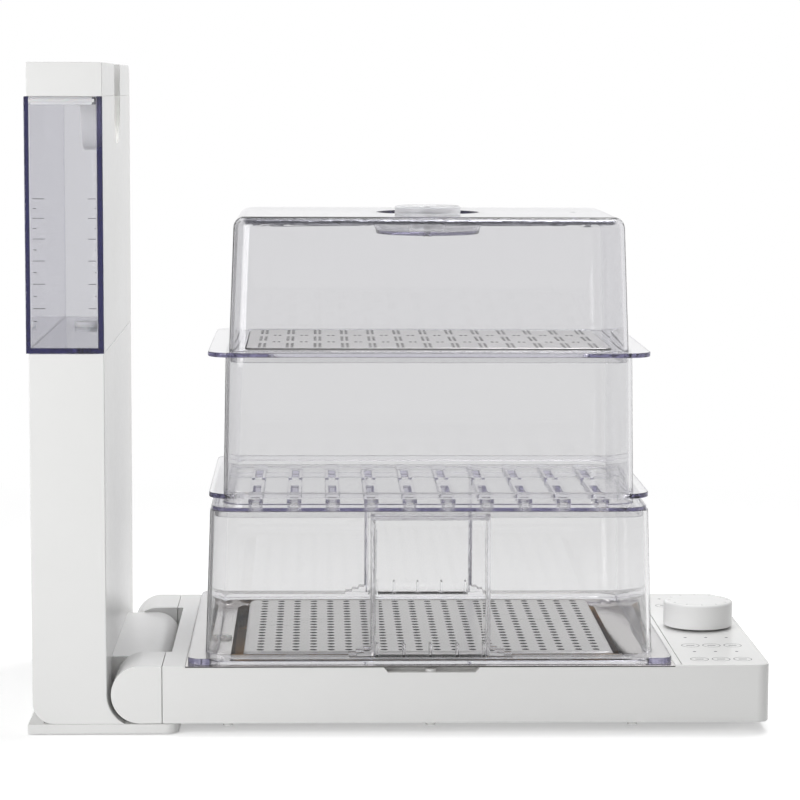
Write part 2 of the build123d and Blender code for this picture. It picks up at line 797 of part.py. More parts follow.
encoder_size = 14.0
encoder_height = 6.4
shaft_bottom = control_board_z + board_thickness + 1.6
bushing_top = base_top - 0.6
press_travel = 1.0
with BuildPart() as rotary_switch:
    with BuildSketch(Plane.XY.offset(control_board_z + board_thickness)):
        with Locations((knob_x, knob_y)):
            Rectangle(encoder_size, encoder_size)
    extrude(amount=encoder_height)
    with BuildSketch(Plane.XY.offset(control_board_z + board_thickness)):
        with Locations((knob_x, knob_y)):
            Circle(bushing_radius)
    extrude(amount=bushing_top - control_board_z - board_thickness)
    with BuildSketch(Plane.XY.offset(shaft_bottom - press_travel - ear_clearance)):
        with Locations((knob_x, knob_y)):
            Circle(shaft_radius + shaft_clearance)
    extrude(amount=base_height, mode=Mode.SUBTRACT)

# Knob on its shaft: it turns, and the shaft is pressed down with it
knob_radius = 22.0
knob_height = 17.1
knob_gap = press_travel + 0.3
knob_wall = 2.2
knob_roof = 3.0
knob_edge = 1.0
hub_radius = 6.5
shaft_length_in_hub = 11.0
knob_bottom = base_top + knob_gap
knob_top = base_top + knob_height
shaft_top = knob_bottom + shaft_length_in_hub

with BuildPart() as switch_shaft:
    with BuildSketch(Plane.XY.offset(shaft_bottom)):
        with Locations((knob_x, knob_y)):
            Circle(shaft_radius)
    extrude(amount=shaft_top - shaft_bottom)

with BuildPart() as knob:
    with BuildSketch(Plane.XY.offset(knob_bottom)):
        with Locations((knob_x, knob_y)):
            Circle(knob_radius)
    extrude(amount=knob_top - knob_bottom)
    chamfer(knob.edges().group_by(Axis.Z)[-1], knob_edge)
    with BuildSketch(Plane.XY.offset(knob_bottom)):
        with Locations((knob_x, knob_y)):
            Circle(knob_radius - knob_wall)
            Circle(hub_radius, mode=Mode.SUBTRACT)
    extrude(amount=knob_top - knob_roof - knob_bottom, mode=Mode.SUBTRACT)
    with BuildSketch(Plane.XY.offset(knob_bottom)):
        with Locations((knob_x, knob_y)):
            Circle(shaft_radius + shaft_clearance)
    extrude(amount=shaft_length_in_hub + ear_clearance, mode=Mode.SUBTRACT)

# Pocket in the tower that the knob enters when the base is folded up
pocket_radius = knob_radius + 2.5
pocket_wall = 1.5
pocket_end_room = 2.0
pocket_z = hinge_z + knob_x - hinge_x
pocket_x = hinge_x - (knob_top - hinge_z) - pocket_end_room
liner_x = pocket_x - pocket_wall
liner_radius = pocket_radius + pocket_wall


def channel(left, radius, top):
    """A solid U channel, round below, from left to the face of the tower beside the trays."""
    with BuildPart() as shape:
        with BuildSketch(Plane.YZ.offset(left)):
            with BuildLine():
                bowl = CenterArc((knob_y, pocket_z), radius, 180, 180)
                Polyline(bowl @ 1, (knob_y + radius, top), (knob_y - radius, top), bowl @ 0)
            make_face()
        extrude(amount=column_right - left)
    return shape.part


# Water tank, clear and tinted, with a white jacket on the side that faces the trays
tank_proud = 1.6
tank_wall = 2.6
tank_floor = 3.0
jacket = 2.2
neck_bore = 6.0
tank_left = column_left - tank_proud
tank_right = column_right - jacket
tank_x = (tank_left + tank_right) / 2
bump_x = liner_x - fit_gap - tank_wall
bump_radius = liner_radius + fit_gap + tank_wall
tank_liner = channel(liner_x, liner_radius, cap_seam)
tank_pocket = channel(pocket_x, pocket_radius, cap_seam)
tank_bump = channel(bump_x, bump_radius, cap_seam)
tank_recess = channel(liner_x - fit_gap, liner_radius + fit_gap, cap_seam)

with BuildPart() as tank_jacket:
    with BuildSketch(Plane.XY.offset(column_top)):
        with Locations(((tank_right + column_right) / 2, tank_wall / 2)):
            Rectangle(jacket, body_depth - tank_wall)
    extrude(amount=cap_seam - column_top)
    add(tank_liner)
    add(tank_pocket, mode=Mode.SUBTRACT)

with BuildPart() as water_tank:
    with BuildSketch(Plane.XY.offset(column_top)):
        with Locations((tank_x, 0)):
            Rectangle(tank_right - tank_left, body_depth)
        with Locations(((tank_right + column_right) / 2, front + tank_wall / 2)):
            Rectangle(jacket, tank_wall)
    extrude(amount=cap_seam - column_top)
    with BuildSketch(Plane.XY.offset(column_top + tank_floor)):
        with Locations((tank_x, 0)):
            Rectangle(tank_right - tank_left - 2 * tank_wall, body_depth - 2 * tank_wall)
    extrude(amount=cap_seam - column_top - tank_floor, mode=Mode.SUBTRACT)
    with BuildSketch(Plane.XY.offset(column_top - neck_length)):
        with Locations((column_x, socket_y)):
            Circle(neck_radius)
    extrude(amount=neck_length)
    with BuildSketch(Plane.XY.offset(column_top - neck_length)):
        with Locations((column_x, socket_y)):
            Circle(neck_bore)
    extrude(amount=neck_length + tank_floor, mode=Mode.SUBTRACT)
    add(tank_bump)
    with BuildSketch(Plane.YZ.offset(tank_right)):
        with Locations((0, (column_top + cap_seam) / 2)):
            Rectangle(body_depth - 2 * tank_wall, cap_seam - column_top)
    extrude(amount=jacket, mode=Mode.SUBTRACT)
    add(tank_recess, mode=Mode.SUBTRACT)

# Valve in the neck of the tank, held shut by its rubber ring until the tank is seated
valve_radius = 8.5
valve_thickness = 1.6
valve_stem = 2.0
valve_seal_height = 1.4
with BuildPart() as valve_seal:
    with BuildSketch(Plane.XY.offset(column_top + tank_floor)):
        with Locations((column_x, socket_y)):
            Circle(valve_radius)
            Circle(neck_bore - 1.0, mode=Mode.SUBTRACT)
    extrude(amount=valve_seal_height)

with BuildPart() as tank_valve:
    with BuildSketch(Plane.XY.offset(column_top + tank_floor + valve_seal_height)):
        with Locations((column_x, socket_y)):
            Circle(valve_radius)
    extrude(amount=valve_thickness)
    with BuildSketch(Plane.XY.offset(stem_bottom)):
        with Locations((column_x, socket_y)):
            Circle(valve_stem)
    extrude(amount=column_top + tank_floor + valve_seal_height - stem_bottom)

# Tank cap: a hollow lid with a plug that fits inside the rim of the tank
cap_back_radius = 10.0
cap_wall = 2.4
plug_depth = 5.0
plug_wall = 1.6
plug_gap = 1.2
seal_gap = 0.1
seal_inset = 1.5
cap_seal_height = 2.0
cap_liner = channel(liner_x, liner_radius, tower_top)
cap_pocket = channel(pocket_x, pocket_radius, tower_top + 1.0)


def plug_outline(gap):
    """The inside of the tank at its rim, drawn in by this gap."""
    with BuildSketch() as outline:
        with Locations((tank_x, 0)):
            Rectangle(
                tank_right - tank_left - 2 * tank_wall - 2 * gap, body_depth - 2 * tank_wall - 2 * gap
            )
        with Locations(((bump_x - gap + column_right) / 2, knob_y)):
            Rectangle(column_right - bump_x + gap, 2 * (bump_radius + gap), mode=Mode.SUBTRACT)
    return outline.sketch


plug_outside = plug_outline(plug_gap)
plug_inside = plug_outline(plug_gap + plug_wall)
seal_outside = plug_outline(seal_gap)

with BuildPart() as tank_cap:
    with BuildSketch(Plane.XY.offset(cap_seam)):
        with Locations((column_x, 0)):
            Rectangle(column_width, body_depth)
    extrude(amount=tower_top - cap_seam)
    fillet(tank_cap.edges().filter_by(Axis.X).group_by(Axis.Z)[-1].sort_by(Axis.Y)[-1], cap_back_radius)
    offset(amount=-cap_wall, openings=tank_cap.faces().sort_by(Axis.Z)[0])
    add(cap_liner)
    with BuildSketch(Plane.XY.offset(cap_seam)):
        with Locations((column_x, 0)):
            Rectangle(2 * column_width, body_depth)
    extrude(amount=-body_depth, mode=Mode.SUBTRACT)
    add(cap_pocket, mode=Mode.SUBTRACT)
    with BuildSketch(Plane.XY.offset(cap_seam - plug_depth)):
        add(plug_outside)
        add(plug_inside, mode=Mode.SUBTRACT)
    extrude(amount=plug_depth + cap_wall)

with BuildPart() as cap_seal:
    with BuildSketch(Plane.XY.offset(cap_seam - seal_inset - cap_seal_height)):
        add(seal_outside)
        add(plug_outside, mode=Mode.SUBTRACT)
    extrude(amount=cap_seal_height)

# Stack of trays
stack_x = hinge_x + stack_offset
lower_z = seat_z + pan_flange


def tapered_box(low_z, high_z, low_size, high_size, corner, edge=0.0):
    """A solid of the stack that tapers upwards, with rounded corners and an optional top edge."""
    with BuildPart() as box:
        for z, size in ((low_z, low_size), (high_z, high_size)):
            with BuildSketch(Plane.XY.offset(z)):
                with Locations((stack_x, 0)):
                    RectangleRounded(*size, corner)
        loft()
        if edge:
            fillet(box.edges().group_by(Axis.Z)[-1], edge)
    return box.part


def grown(size, amount):
    """A width and depth with this amount added on every side."""
    return (size[0] + 2 * amount, size[1] + 2 * amount)


# Perforated plate that stands in the basin
plate_size = (225.7, 177.0)
plate_top = 44.1
plate_sheet = 1.0
plate_rim = 4.0
plate_corner = 6.0
hole_size = 4.4
hole_pitch_x = 10.78
hole_pitch_y = 9.0
hole_columns = 20
hole_rows = 19
leg_width = 14.0
leg_spread = 80.0

with BuildPart() as steam_plate:
    with BuildSketch(Plane.XY.offset(plate_top - plate_rim)):
        with Locations((stack_x, 0)):
            RectangleRounded(*plate_size, plate_corner)
    extrude(amount=plate_rim)
    with BuildSketch(Plane.XY.offset(plate_top - plate_rim)):
        with Locations((stack_x, 0)):
            RectangleRounded(*grown(plate_size, -plate_sheet), plate_corner - plate_sheet)
    extrude(amount=plate_rim - plate_sheet, mode=Mode.SUBTRACT)
    with BuildSketch(Plane.XY.offset(plate_top - plate_sheet)):
        with Locations((stack_x, 0)):
            with GridLocations(hole_pitch_x, hole_pitch_y, hole_columns, hole_rows):
                Rectangle(hole_size, hole_size)
    extrude(amount=plate_sheet, mode=Mode.SUBTRACT)
    with BuildSketch(Plane.XY.offset(basin_floor + sheet)):
        with Locations((stack_x, 0)):
            with GridLocations(2 * leg_spread, plate_size[1] - plate_sheet, 2, 2):
                Rectangle(leg_width, plate_sheet)
    extrude(amount=plate_top - plate_rim - basin_floor - sheet + plate_sheet)

# Lower tier, open below, with a bulged grip at the front and at the back
lower_flange = (290.8, 230.0)
flange_corner = 8.0
flange_height = 3.7
bulge_width = 72.0
bulge_out = 11.0
bulge_corner = 4.0
fin_count = 5
fin_pitch = 16.0
fin_height = 8.0
fin_thickness = 1.5
bulge_drop = 1.2
wing_out = 9.0
wing_rise = 1.6
wing_widths = (98.0, 89.0, 80.0)
bulge_low = (bulge_width, lower_low[1] + 2 * bulge_out)
bulge_high = (bulge_width, lower_high[1] + 2 * bulge_out)
inner_corner = tier_corner - tier_wall
bulge_inner_corner = bulge_corner - tier_wall
lower_outside = tapered_box(lower_z, lower_rim, lower_low, lower_high, tier_corner)
lower_inside = tapered_box(
    lower_z, lower_rim, grown(lower_low, -tier_wall), grown(lower_high, -tier_wall), inner_corner
)
bulge_outside = tapered_box(lower_z, lower_rim - bulge_drop, bulge_low, bulge_high, bulge_corner)
bulge_inside = tapered_box(
    lower_z + flange_height, lower_rim - bulge_drop - tier_wall,
    grown(bulge_low, -tier_wall), grown(bulge_high, -tier_wall), bulge_inner_corner,
)

with BuildPart() as lower_tier:
    with BuildSketch(Plane.XY.offset(lower_z)):
        with Locations((stack_x, 0)):
            RectangleRounded(*lower_flange, flange_corner)
    extrude(amount=flange_height)
    for step, width in enumerate(wing_widths):
        with BuildSketch(Plane.XY.offset(lower_z)):
            with Locations((stack_x, 0)):
                Rectangle(width, lower_low[1] + 2 * wing_out)
        extrude(amount=flange_height + (step + 1) * wing_rise)
    add(lower_outside)
    add(bulge_outside)
    add(lower_inside, mode=Mode.SUBTRACT)
    add(bulge_inside, mode=Mode.SUBTRACT)
    with BuildSketch(Plane.XY.offset(lower_z)):
        with Locations((stack_x, 0)):
            with GridLocations(fin_pitch, lower_low[1] + bulge_out - tier_wall, fin_count, 2):
                Rectangle(fin_thickness, bulge_out - tier_wall)
    extrude(amount=flange_height + fin_height)

# Middle tier: its floor sits on the lower rim and has raised vents
lip_gap = 0.3
lip_wall = 2.0
lip_height = 4.0
middle_floor = 2.2
floor_size = (263.0, 198.0)
middle_flange = (267.0, 182.0)
middle_flange_z = 138.1
middle_flange_height = 3.0
vent_columns = 10
vent_pitch = 23.4
vent_rows = ((46.0, 66.0), (-25.0, 62.0), (-71.0, 20.0))
vent_width = 8.6
vent_corner = 2.5
vent_height = 2.6
vent_hole_width = 4.5
vent_hole_share = 0.5
vent_edge = 3.0
middle_outside = tapered_box(lower_rim, middle_rim, middle_low, middle_high, tier_corner)
middle_inside = tapered_box(
    lower_rim + middle_floor, middle_rim,
    grown(middle_low, -tier_wall), grown(middle_high, -tier_wall), inner_corner,
)
middle_lip = grown(lower_high, -tier_wall - lip_gap)

with BuildPart() as middle_tier:
    with BuildSketch(Plane.XY.offset(lower_rim)):
        with Locations((stack_x, 0)):
            RectangleRounded(*floor_size, tier_corner)
    extrude(amount=middle_floor)
    with BuildSketch(Plane.XY.offset(middle_flange_z)):
        with Locations((stack_x, 0)):
            RectangleRounded(*middle_flange, tier_corner)
    extrude(amount=middle_flange_height)
    add(middle_outside)
    add(middle_inside, mode=Mode.SUBTRACT)
    with BuildSketch(Plane.XY.offset(lower_rim - lip_height)):
        with Locations((stack_x, 0)):
            RectangleRounded(*middle_lip, inner_corner)
            RectangleRounded(*grown(middle_lip, -lip_wall), inner_corner - lip_wall, mode=Mode.SUBTRACT)
    extrude(amount=lip_height)
    with BuildSketch(Plane.XY.offset(lower_rim + middle_floor)):
        for row_y, length in vent_rows:
            with Locations((stack_x, row_y)):
                with GridLocations(vent_pitch, 0, vent_columns, 1):
                    RectangleRounded(vent_width, length, vent_corner)
    extrude(amount=vent_height)
    with BuildSketch(Plane.XY.offset(lower_rim)):
        for row_y, length in vent_rows:
            hole_length = vent_hole_share * length
            with Locations((stack_x, row_y - length / 2 + vent_edge + hole_length / 2)):
                with GridLocations(vent_pitch, 0, vent_columns, 1):
                    Rectangle(vent_hole_width, hole_length)
    extrude(amount=middle_floor + vent_height, mode=Mode.SUBTRACT)

# Upper tray: a wide flange on the middle rim, with a sunk seat round the steam opening
tray_size = (268.0, 178.0)
tray_height = 2.9
tray_opening = (197.0, 120.0)
opening_corner = 10.0
upper_plate_size = (223.9, 129.0)
upper_plate_height = 3.0
seat_depth = 2.1
seat_gap = 0.4
seat_wall = 2.2
tray_lip = grown(middle_high, -tier_wall - lip_gap)
tray_top = middle_rim + tray_height
plate_seat = tray_top - seat_depth
seat_size = grown(upper_plate_size, seat_gap)
seat_corner = plate_corner + seat_gap

with BuildPart() as upper_tray:
    with BuildSketch(Plane.XY.offset(middle_rim)):
        with Locations((stack_x, 0)):
            RectangleRounded(*tray_size, tier_corner)
    extrude(amount=tray_height)
    with BuildSketch(Plane.XY.offset(plate_seat - seat_wall)):
        with Locations((stack_x, 0)):
            RectangleRounded(*grown(seat_size, seat_wall), seat_corner + seat_wall)
    extrude(amount=seat_wall)
    with BuildSketch(Plane.XY.offset(plate_seat)):
        with Locations((stack_x, 0)):
            RectangleRounded(*seat_size, seat_corner)
    extrude(amount=seat_depth, mode=Mode.SUBTRACT)
    with BuildSketch(Plane.XY.offset(plate_seat - seat_wall)):
        with Locations((stack_x, 0)):
            RectangleRounded(*tray_opening, opening_corner)
    extrude(amount=seat_wall, mode=Mode.SUBTRACT)
    with BuildSketch(Plane.XY.offset(middle_rim - lip_height)):
        with Locations((stack_x, 0)):
            RectangleRounded(*tray_lip, inner_corner)
            RectangleRounded(*grown(tray_lip, -lip_wall), inner_corner - lip_wall, mode=Mode.SUBTRACT)
    extrude(amount=lip_height)

# Perforated plate of the upper tray: pairs of long and short slots in turn
slot_width = 2.0
slot_length = 30.0
slot_spacing = 3.0
slot_pitch_x = 16.96
slot_pitch_y = 47.0
slot_columns = 13
cutout_width = 60.6
cutout_depth = 4.0

with BuildPart() as upper_plate:
    with BuildSketch(Plane.XY.offset(plate_seat)):
        with Locations((stack_x, 0)):
            RectangleRounded(*upper_plate_size, plate_corner)
    extrude(amount=upper_plate_height)
    with BuildSketch(Plane.XY.offset(plate_seat)):
        with Locations((stack_x, 0)):
            RectangleRounded(*grown(upper_plate_size, -plate_sheet), plate_corner - plate_sheet)
    extrude(amount=upper_plate_height - plate_sheet, mode=Mode.SUBTRACT)
    with BuildSketch(Plane.XY.offset(plate_seat)):
        for side in (-slot_spacing / 2, slot_spacing / 2):
            with Locations((stack_x + side, 0)):
                with GridLocations(slot_pitch_x, slot_pitch_y, slot_columns, 3):
                    Rectangle(slot_width, slot_length)
                with GridLocations(slot_pitch_x, slot_pitch_y, slot_columns - 1, 2):
                    Rectangle(slot_width, 2 * slot_width)
        with Locations((stack_x, -upper_plate_size[1] / 2)):
            Rectangle(cutout_width, cutout_depth)
    extrude(amount=upper_plate_height, mode=Mode.SUBTRACT)

# Lid with a round dish in its roof, and the knob that stands in the dish
lid_corner = 12.0
lid_edge = 7.0
dish_x = hinge_x + 174.5
dish_radius = 32.3
dish_depth = 11.0
dish_draft = 12.0
lid_vent_x = hinge_x + 266.0
lid_vent_radius = 1.5
lid_outside = tapered_box(tray_top, lid_top, lid_low, lid_high, lid_corner, lid_edge)
lid_inside = tapered_box(
    tray_top, lid_top - tier_wall,
    grown(lid_low, -tier_wall), grown(lid_high, -tier_wall), lid_corner - tier_wall, lid_edge - tier_wall,
)

with BuildPart() as lid:
    add(lid_outside)
    add(lid_inside, mode=Mode.SUBTRACT)
    with BuildSketch(Plane.XY.offset(lid_top - tier_wall)):
        with Locations((dish_x, 0)):
            Circle(dish_radius + tier_wall)
    extrude(amount=-dish_depth, taper=dish_draft)
    with BuildSketch(Plane.XY.offset(lid_top)):
        with Locations((dish_x, 0)):
            Circle(dish_radius)
    extrude(amount=-dish_depth, taper=dish_draft, mode=Mode.SUBTRACT)
    with BuildSketch(Plane.XY.offset(lid_top - dish_depth - tier_wall)):
        with Locations((dish_x, 0), (lid_vent_x, 0)):
            Circle(lid_vent_radius)
    extrude(amount=dish_depth + tier_wall, mode=Mode.SUBTRACT)

lid_knob_radius = 20.7
lid_knob_top = 311.0
lid_knob_height = 6.5
lid_knob_edge = 1.5
lid_stem_radius = 11.0
lid_screw_length = 10.0
dish_floor = lid_top - dish_depth

with BuildPart() as lid_knob:
    with BuildSketch(Plane.XY.offset(lid_knob_top - lid_knob_height)):
        with Locations((dish_x, 0)):
            Circle(lid_knob_radius)
    extrude(amount=lid_knob_height)
    fillet(lid_knob.edges().group_by(Axis.Z)[-1], lid_knob_edge)
    with BuildSketch(Plane.XY.offset(dish_floor)):
        with Locations((dish_x, 0)):
            Circle(lid_stem_radius)
    extrude(amount=lid_knob_top - lid_knob_height - dish_floor)
    with BuildSketch(Plane.XY.offset(dish_floor)):
        with Locations((dish_x, 0)):
            Circle(screw_radius)
    extrude(amount=lid_screw_length, mode=Mode.SUBTRACT)

with BuildPart() as lid_screw:
    with BuildSketch(Plane.XY.offset(dish_floor - tier_wall)):
        with Locations((dish_x, 0)):
            Circle(lid_vent_radius - fit_gap)
    extrude(amount=tier_wall + lid_screw_length - fit_gap)
    with BuildSketch(Plane.XY.offset(dish_floor - tier_wall)):
        with Locations((dish_x, 0)):
            Circle(screw_head_radius)
    extrude(amount=-screw_head_depth)

nodes = {
    "foot_plate": foot_plate,
    "foot_pads": foot_pads,
    "foot_screws": foot_screws,
    "column_shell": column_shell,
    "cord_inlet": cord_inlet,
    "power_board": power_board,
    "tank_socket": tank_socket,
    "socket_seal": socket_seal,
    "pump_saddle": pump_saddle,
    "water_pump": water_pump,
    "tank_hose": tank_hose,
    "pump_hose": pump_hose,
    "hinge_knuckle": hinge_knuckle,
    "hinge_pins": hinge_pins,
    "ear_front": ear_front,
    "ear_back": ear_back,
    "hinge_bushes": hinge_bushes,
    "base_shell": base_shell,
    "ear_screws": ear_screws,
    "base_cover": base_cover,
    "base_screws": base_screws,
    "base_feet": base_feet,
    "steam_pan": steam_pan,
    "pan_gasket": pan_gasket,
    "pan_inlet": pan_inlet,
    "pan_hose": pan_hose,
    "heater_plate": heater_plate,
    "heating_element": heating_element,
    "thermostat": thermostat,
    "control_panel": control_panel,
    "indicator_lights": indicator_lights,
    "control_board": control_board,
    "rotary_switch": rotary_switch,
    "switch_shaft": switch_shaft,
    "knob": knob,
    "tank_jacket": tank_jacket,
    "water_tank": water_tank,
    "valve_seal": valve_seal,
    "tank_valve": tank_valve,
    "tank_cap": tank_cap,
    "cap_seal": cap_seal,
    "steam_plate": steam_plate,
    "lower_tier": lower_tier,
    "middle_tier": middle_tier,
    "upper_tray": upper_tray,
    "upper_plate": upper_plate,
    "lid": lid,
    "lid_knob": lid_knob,
    "lid_screw": lid_screw,
}

os.makedirs("parts", exist_ok=True)
for name, piece in nodes.items():
    piece.part.label = name
    export_step(piece.part, f"parts/{name}.step")
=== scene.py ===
# Looks of the folding food steamer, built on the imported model's own frame
import json
import math

import bmesh
import bpy
from mathutils import Matrix, Vector

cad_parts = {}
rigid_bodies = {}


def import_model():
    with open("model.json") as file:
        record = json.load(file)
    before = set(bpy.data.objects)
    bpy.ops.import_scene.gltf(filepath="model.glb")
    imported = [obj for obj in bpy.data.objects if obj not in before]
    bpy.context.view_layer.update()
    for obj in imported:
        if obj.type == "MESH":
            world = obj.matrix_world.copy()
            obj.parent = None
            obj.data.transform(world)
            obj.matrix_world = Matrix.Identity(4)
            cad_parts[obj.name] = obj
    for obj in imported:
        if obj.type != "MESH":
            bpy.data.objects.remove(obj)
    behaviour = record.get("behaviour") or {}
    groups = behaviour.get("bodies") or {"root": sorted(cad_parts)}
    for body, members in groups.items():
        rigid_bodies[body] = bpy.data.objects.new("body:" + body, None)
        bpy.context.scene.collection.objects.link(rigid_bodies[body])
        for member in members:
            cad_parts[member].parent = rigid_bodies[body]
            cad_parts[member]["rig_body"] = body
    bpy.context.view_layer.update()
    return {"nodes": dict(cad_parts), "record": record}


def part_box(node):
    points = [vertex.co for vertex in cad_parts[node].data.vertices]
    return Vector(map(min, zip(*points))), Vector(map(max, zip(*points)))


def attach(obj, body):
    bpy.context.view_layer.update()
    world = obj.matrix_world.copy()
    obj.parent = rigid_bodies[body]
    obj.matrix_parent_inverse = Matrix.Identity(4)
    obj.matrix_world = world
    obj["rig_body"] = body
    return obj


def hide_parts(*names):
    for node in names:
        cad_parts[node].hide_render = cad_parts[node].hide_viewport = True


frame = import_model()
nodes = frame["nodes"]
mm = 0.001
sharpAngle = 35.0
print("frame loaded with", len(nodes), "nodes")


# Node trees

def newGroup(name, kind, inputs, outputs):
    # A node group with its sockets: inputs are (name, type, value), outputs are (name, type)
    group = bpy.data.node_groups.new(name, kind)
    for label, socketType, value in inputs:
        made = group.interface.new_socket(label, in_out="INPUT", socket_type=socketType)
        if value is not None:
            made.default_value = value
    for label, socketType in outputs:
        group.interface.new_socket(label, in_out="OUTPUT", socket_type=socketType)
    entry = group.nodes.new("NodeGroupInput")
    leaving = group.nodes.new("NodeGroupOutput")
    return group, entry, leaving


def addNode(tree, kind, values=None, **settings):
    made = tree.nodes.new(kind)
    for key, value in settings.items():
        setattr(made, key, value)
    for key, value in (values or {}).items():
        made.inputs[key].default_value = value
    return made


def join(tree, source, target):
    tree.links.new(source, target)


def mathNode(tree, operation, first, second):
    made = addNode(tree, "ShaderNodeMath", operation=operation)
    for place, value in enumerate((first, second)):
        if isinstance(value, (int, float)):
            made.inputs[place].default_value = value
        else:
            join(tree, value, made.inputs[place])
    return made.outputs[0]


surfaceOutputs = [("Color", "NodeSocketColor"), ("Roughness", "NodeSocketFloat"),
                  ("Height", "NodeSocketFloat")]


def finishSurface(group, entry, leaving, change, uneven, height):
    # Brightens the given colour by the change and spreads the roughness round its value
    bright = mathNode(group, "ADD", change, 1.0)
    tint = addNode(group, "ShaderNodeVectorMath", operation="SCALE")
    join(group, entry.outputs["Color"], tint.inputs[0])
    join(group, bright, tint.inputs["Scale"])
    join(group, tint.outputs["Vector"], leaving.inputs["Color"])
    rough = mathNode(group, "ADD", uneven, entry.outputs["Roughness"])
    join(group, rough, leaving.inputs["Roughness"])
    join(group, height, leaving.inputs["Height"])


def makeMouldedSurface():
    # Slow colour drift, fine grain and faint dust of a moulded plastic
    group, entry, leaving = newGroup(
        "mouldedSurface", "ShaderNodeTree",
        [("Color", "NodeSocketColor", (0.8, 0.8, 0.8, 1)), ("Drift", "NodeSocketFloat", 0.03),
         ("Roughness", "NodeSocketFloat", 0.3), ("Spread", "NodeSocketFloat", 0.05),
         ("Grain Scale", "NodeSocketFloat", 900.0)],
        surfaceOutputs,
    )
    place = addNode(group, "ShaderNodeTexCoord")
    slow = addNode(group, "ShaderNodeTexNoise", {"Scale": 9.0, "Detail": 3.0, "Roughness": 0.55})
    fine = addNode(group, "ShaderNodeTexNoise", {"Detail": 2.0, "Roughness": 0.5})
    join(group, place.outputs["Object"], slow.inputs["Vector"])
    join(group, place.outputs["Object"], fine.inputs["Vector"])
    join(group, entry.outputs["Grain Scale"], fine.inputs["Scale"])
    centred = mathNode(group, "SUBTRACT", slow.outputs["Fac"], 0.5)
    change = mathNode(group, "MULTIPLY", centred, entry.outputs["Drift"])
    grain = mathNode(group, "SUBTRACT", fine.outputs["Fac"], 0.5)
    both = mathNode(group, "ADD", centred, grain)
    uneven = mathNode(group, "MULTIPLY", both, entry.outputs["Spread"])
    finishSurface(group, entry, leaving, change, uneven, fine.outputs["Fac"])
    return group


def makeBrushedSurface():
    # Long fine scratches of rolled and brushed steel, along one axis
    group, entry, leaving = newGroup(
        "brushedSurface", "ShaderNodeTree",
        [("Color", "NodeSocketColor", (0.6, 0.6, 0.6, 1)), ("Contrast", "NodeSocketFloat", 0.12),
         ("Roughness", "NodeSocketFloat", 0.3), ("Spread", "NodeSocketFloat", 0.1),
         ("Stretch", "NodeSocketVector", (12.0, 900.0, 900.0))],
        surfaceOutputs,
    )
    place = addNode(group, "ShaderNodeTexCoord")
    stretched = addNode(group, "ShaderNodeVectorMath", operation="MULTIPLY")
    join(group, place.outputs["Object"], stretched.inputs[0])
    join(group, entry.outputs["Stretch"], stretched.inputs[1])
    lines = addNode(group, "ShaderNodeTexNoise", {"Scale": 1.0, "Detail": 4.0, "Roughness": 0.6})
    join(group, stretched.outputs["Vector"], lines.inputs["Vector"])
    cloud = addNode(group, "ShaderNodeTexNoise", {"Scale": 14.0, "Detail": 2.0})
    join(group, place.outputs["Object"], cloud.inputs["Vector"])
    lined = mathNode(group, "SUBTRACT", lines.outputs["Fac"], 0.5)
    clouded = mathNode(group, "SUBTRACT", cloud.outputs["Fac"], 0.5)
    both = mathNode(group, "ADD", lined, mathNode(group, "MULTIPLY", clouded, 0.4))
    change = mathNode(group, "MULTIPLY", both, entry.outputs["Contrast"])
    uneven = mathNode(group, "MULTIPLY", both, entry.outputs["Spread"])
    finishSurface(group, entry, leaving, change, uneven, lines.outputs["Fac"])
    return group


mouldedSurface = makeMouldedSurface()
brushedSurface = makeBrushedSurface()


def newMaterial(name, surface, look, shader, bumpStrength, bumpDistance=0.0001):
    # One Principled material fed by a surface group
    material = bpy.data.materials.new(name)
    material.use_nodes = True
    tree = material.node_tree
    principled = tree.nodes["Principled BSDF"]
    for key, value in shader.items():
        principled.inputs[key].default_value = value
    pattern = addNode(tree, "ShaderNodeGroup", node_tree=surface)
    for key, value in look.items():
        pattern.inputs[key].default_value = value
    join(tree, pattern.outputs["Color"], principled.inputs["Base Color"])
    join(tree, pattern.outputs["Roughness"], principled.inputs["Roughness"])
    if bumpStrength:
        bump = addNode(tree, "ShaderNodeBump", {"Strength": bumpStrength, "Distance": bumpDistance})
        join(tree, pattern.outputs["Height"], bump.inputs["Height"])
        join(tree, bump.outputs["Normal"], principled.inputs["Normal"])
    return material


def plastic(name, color, roughness, drift=0.03, spread=0.05, grain=900.0, bump=0.03, **shader):
    look = {"Color": (*color, 1), "Drift": drift, "Roughness": roughness, "Spread": spread,
            "Grain Scale": grain}
    return newMaterial(name, mouldedSurface, look, shader, bump)


def metal(name, color, roughness, contrast=0.12, stretch=(12.0, 900.0, 900.0), bump=0.05, **shader):
    look = {"Color": (*color, 1), "Contrast": contrast, "Roughness": roughness, "Spread": 0.12,
            "Stretch": stretch}
    return newMaterial(name, brushedSurface, look, {"Metallic": 1.0, **shader}, bump)


def patternOf(material):
    return next(node for node in material.node_tree.nodes if node.type == "GROUP")


def shadeByHeight(material, span, stops):
    # Feeds the material's surface pattern with colours that change with the height on the object
    tree = material.node_tree
    place = addNode(tree, "ShaderNodeTexCoord")
    parts = addNode(tree, "ShaderNodeSeparateXYZ")
    level = addNode(tree, "ShaderNodeMapRange", {"From Min": span[0], "From Max": span[1]})
    ramp = addNode(tree, "ShaderNodeValToRGB")
    points = ramp.color_ramp.elements
    while len(points) < len(stops):
        points.new(0.5)
    for point, (at, color) in zip(points, stops):
        point.position = at
        point.color = (*color, 1)
    join(tree, place.outputs["Object"], parts.inputs["Vector"])
    join(tree, parts.outputs["Z"], level.inputs["Value"])
    join(tree, level.outputs["Result"], ramp.inputs["Fac"])
    join(tree, ramp.outputs["Color"], patternOf(material).inputs["Color"])


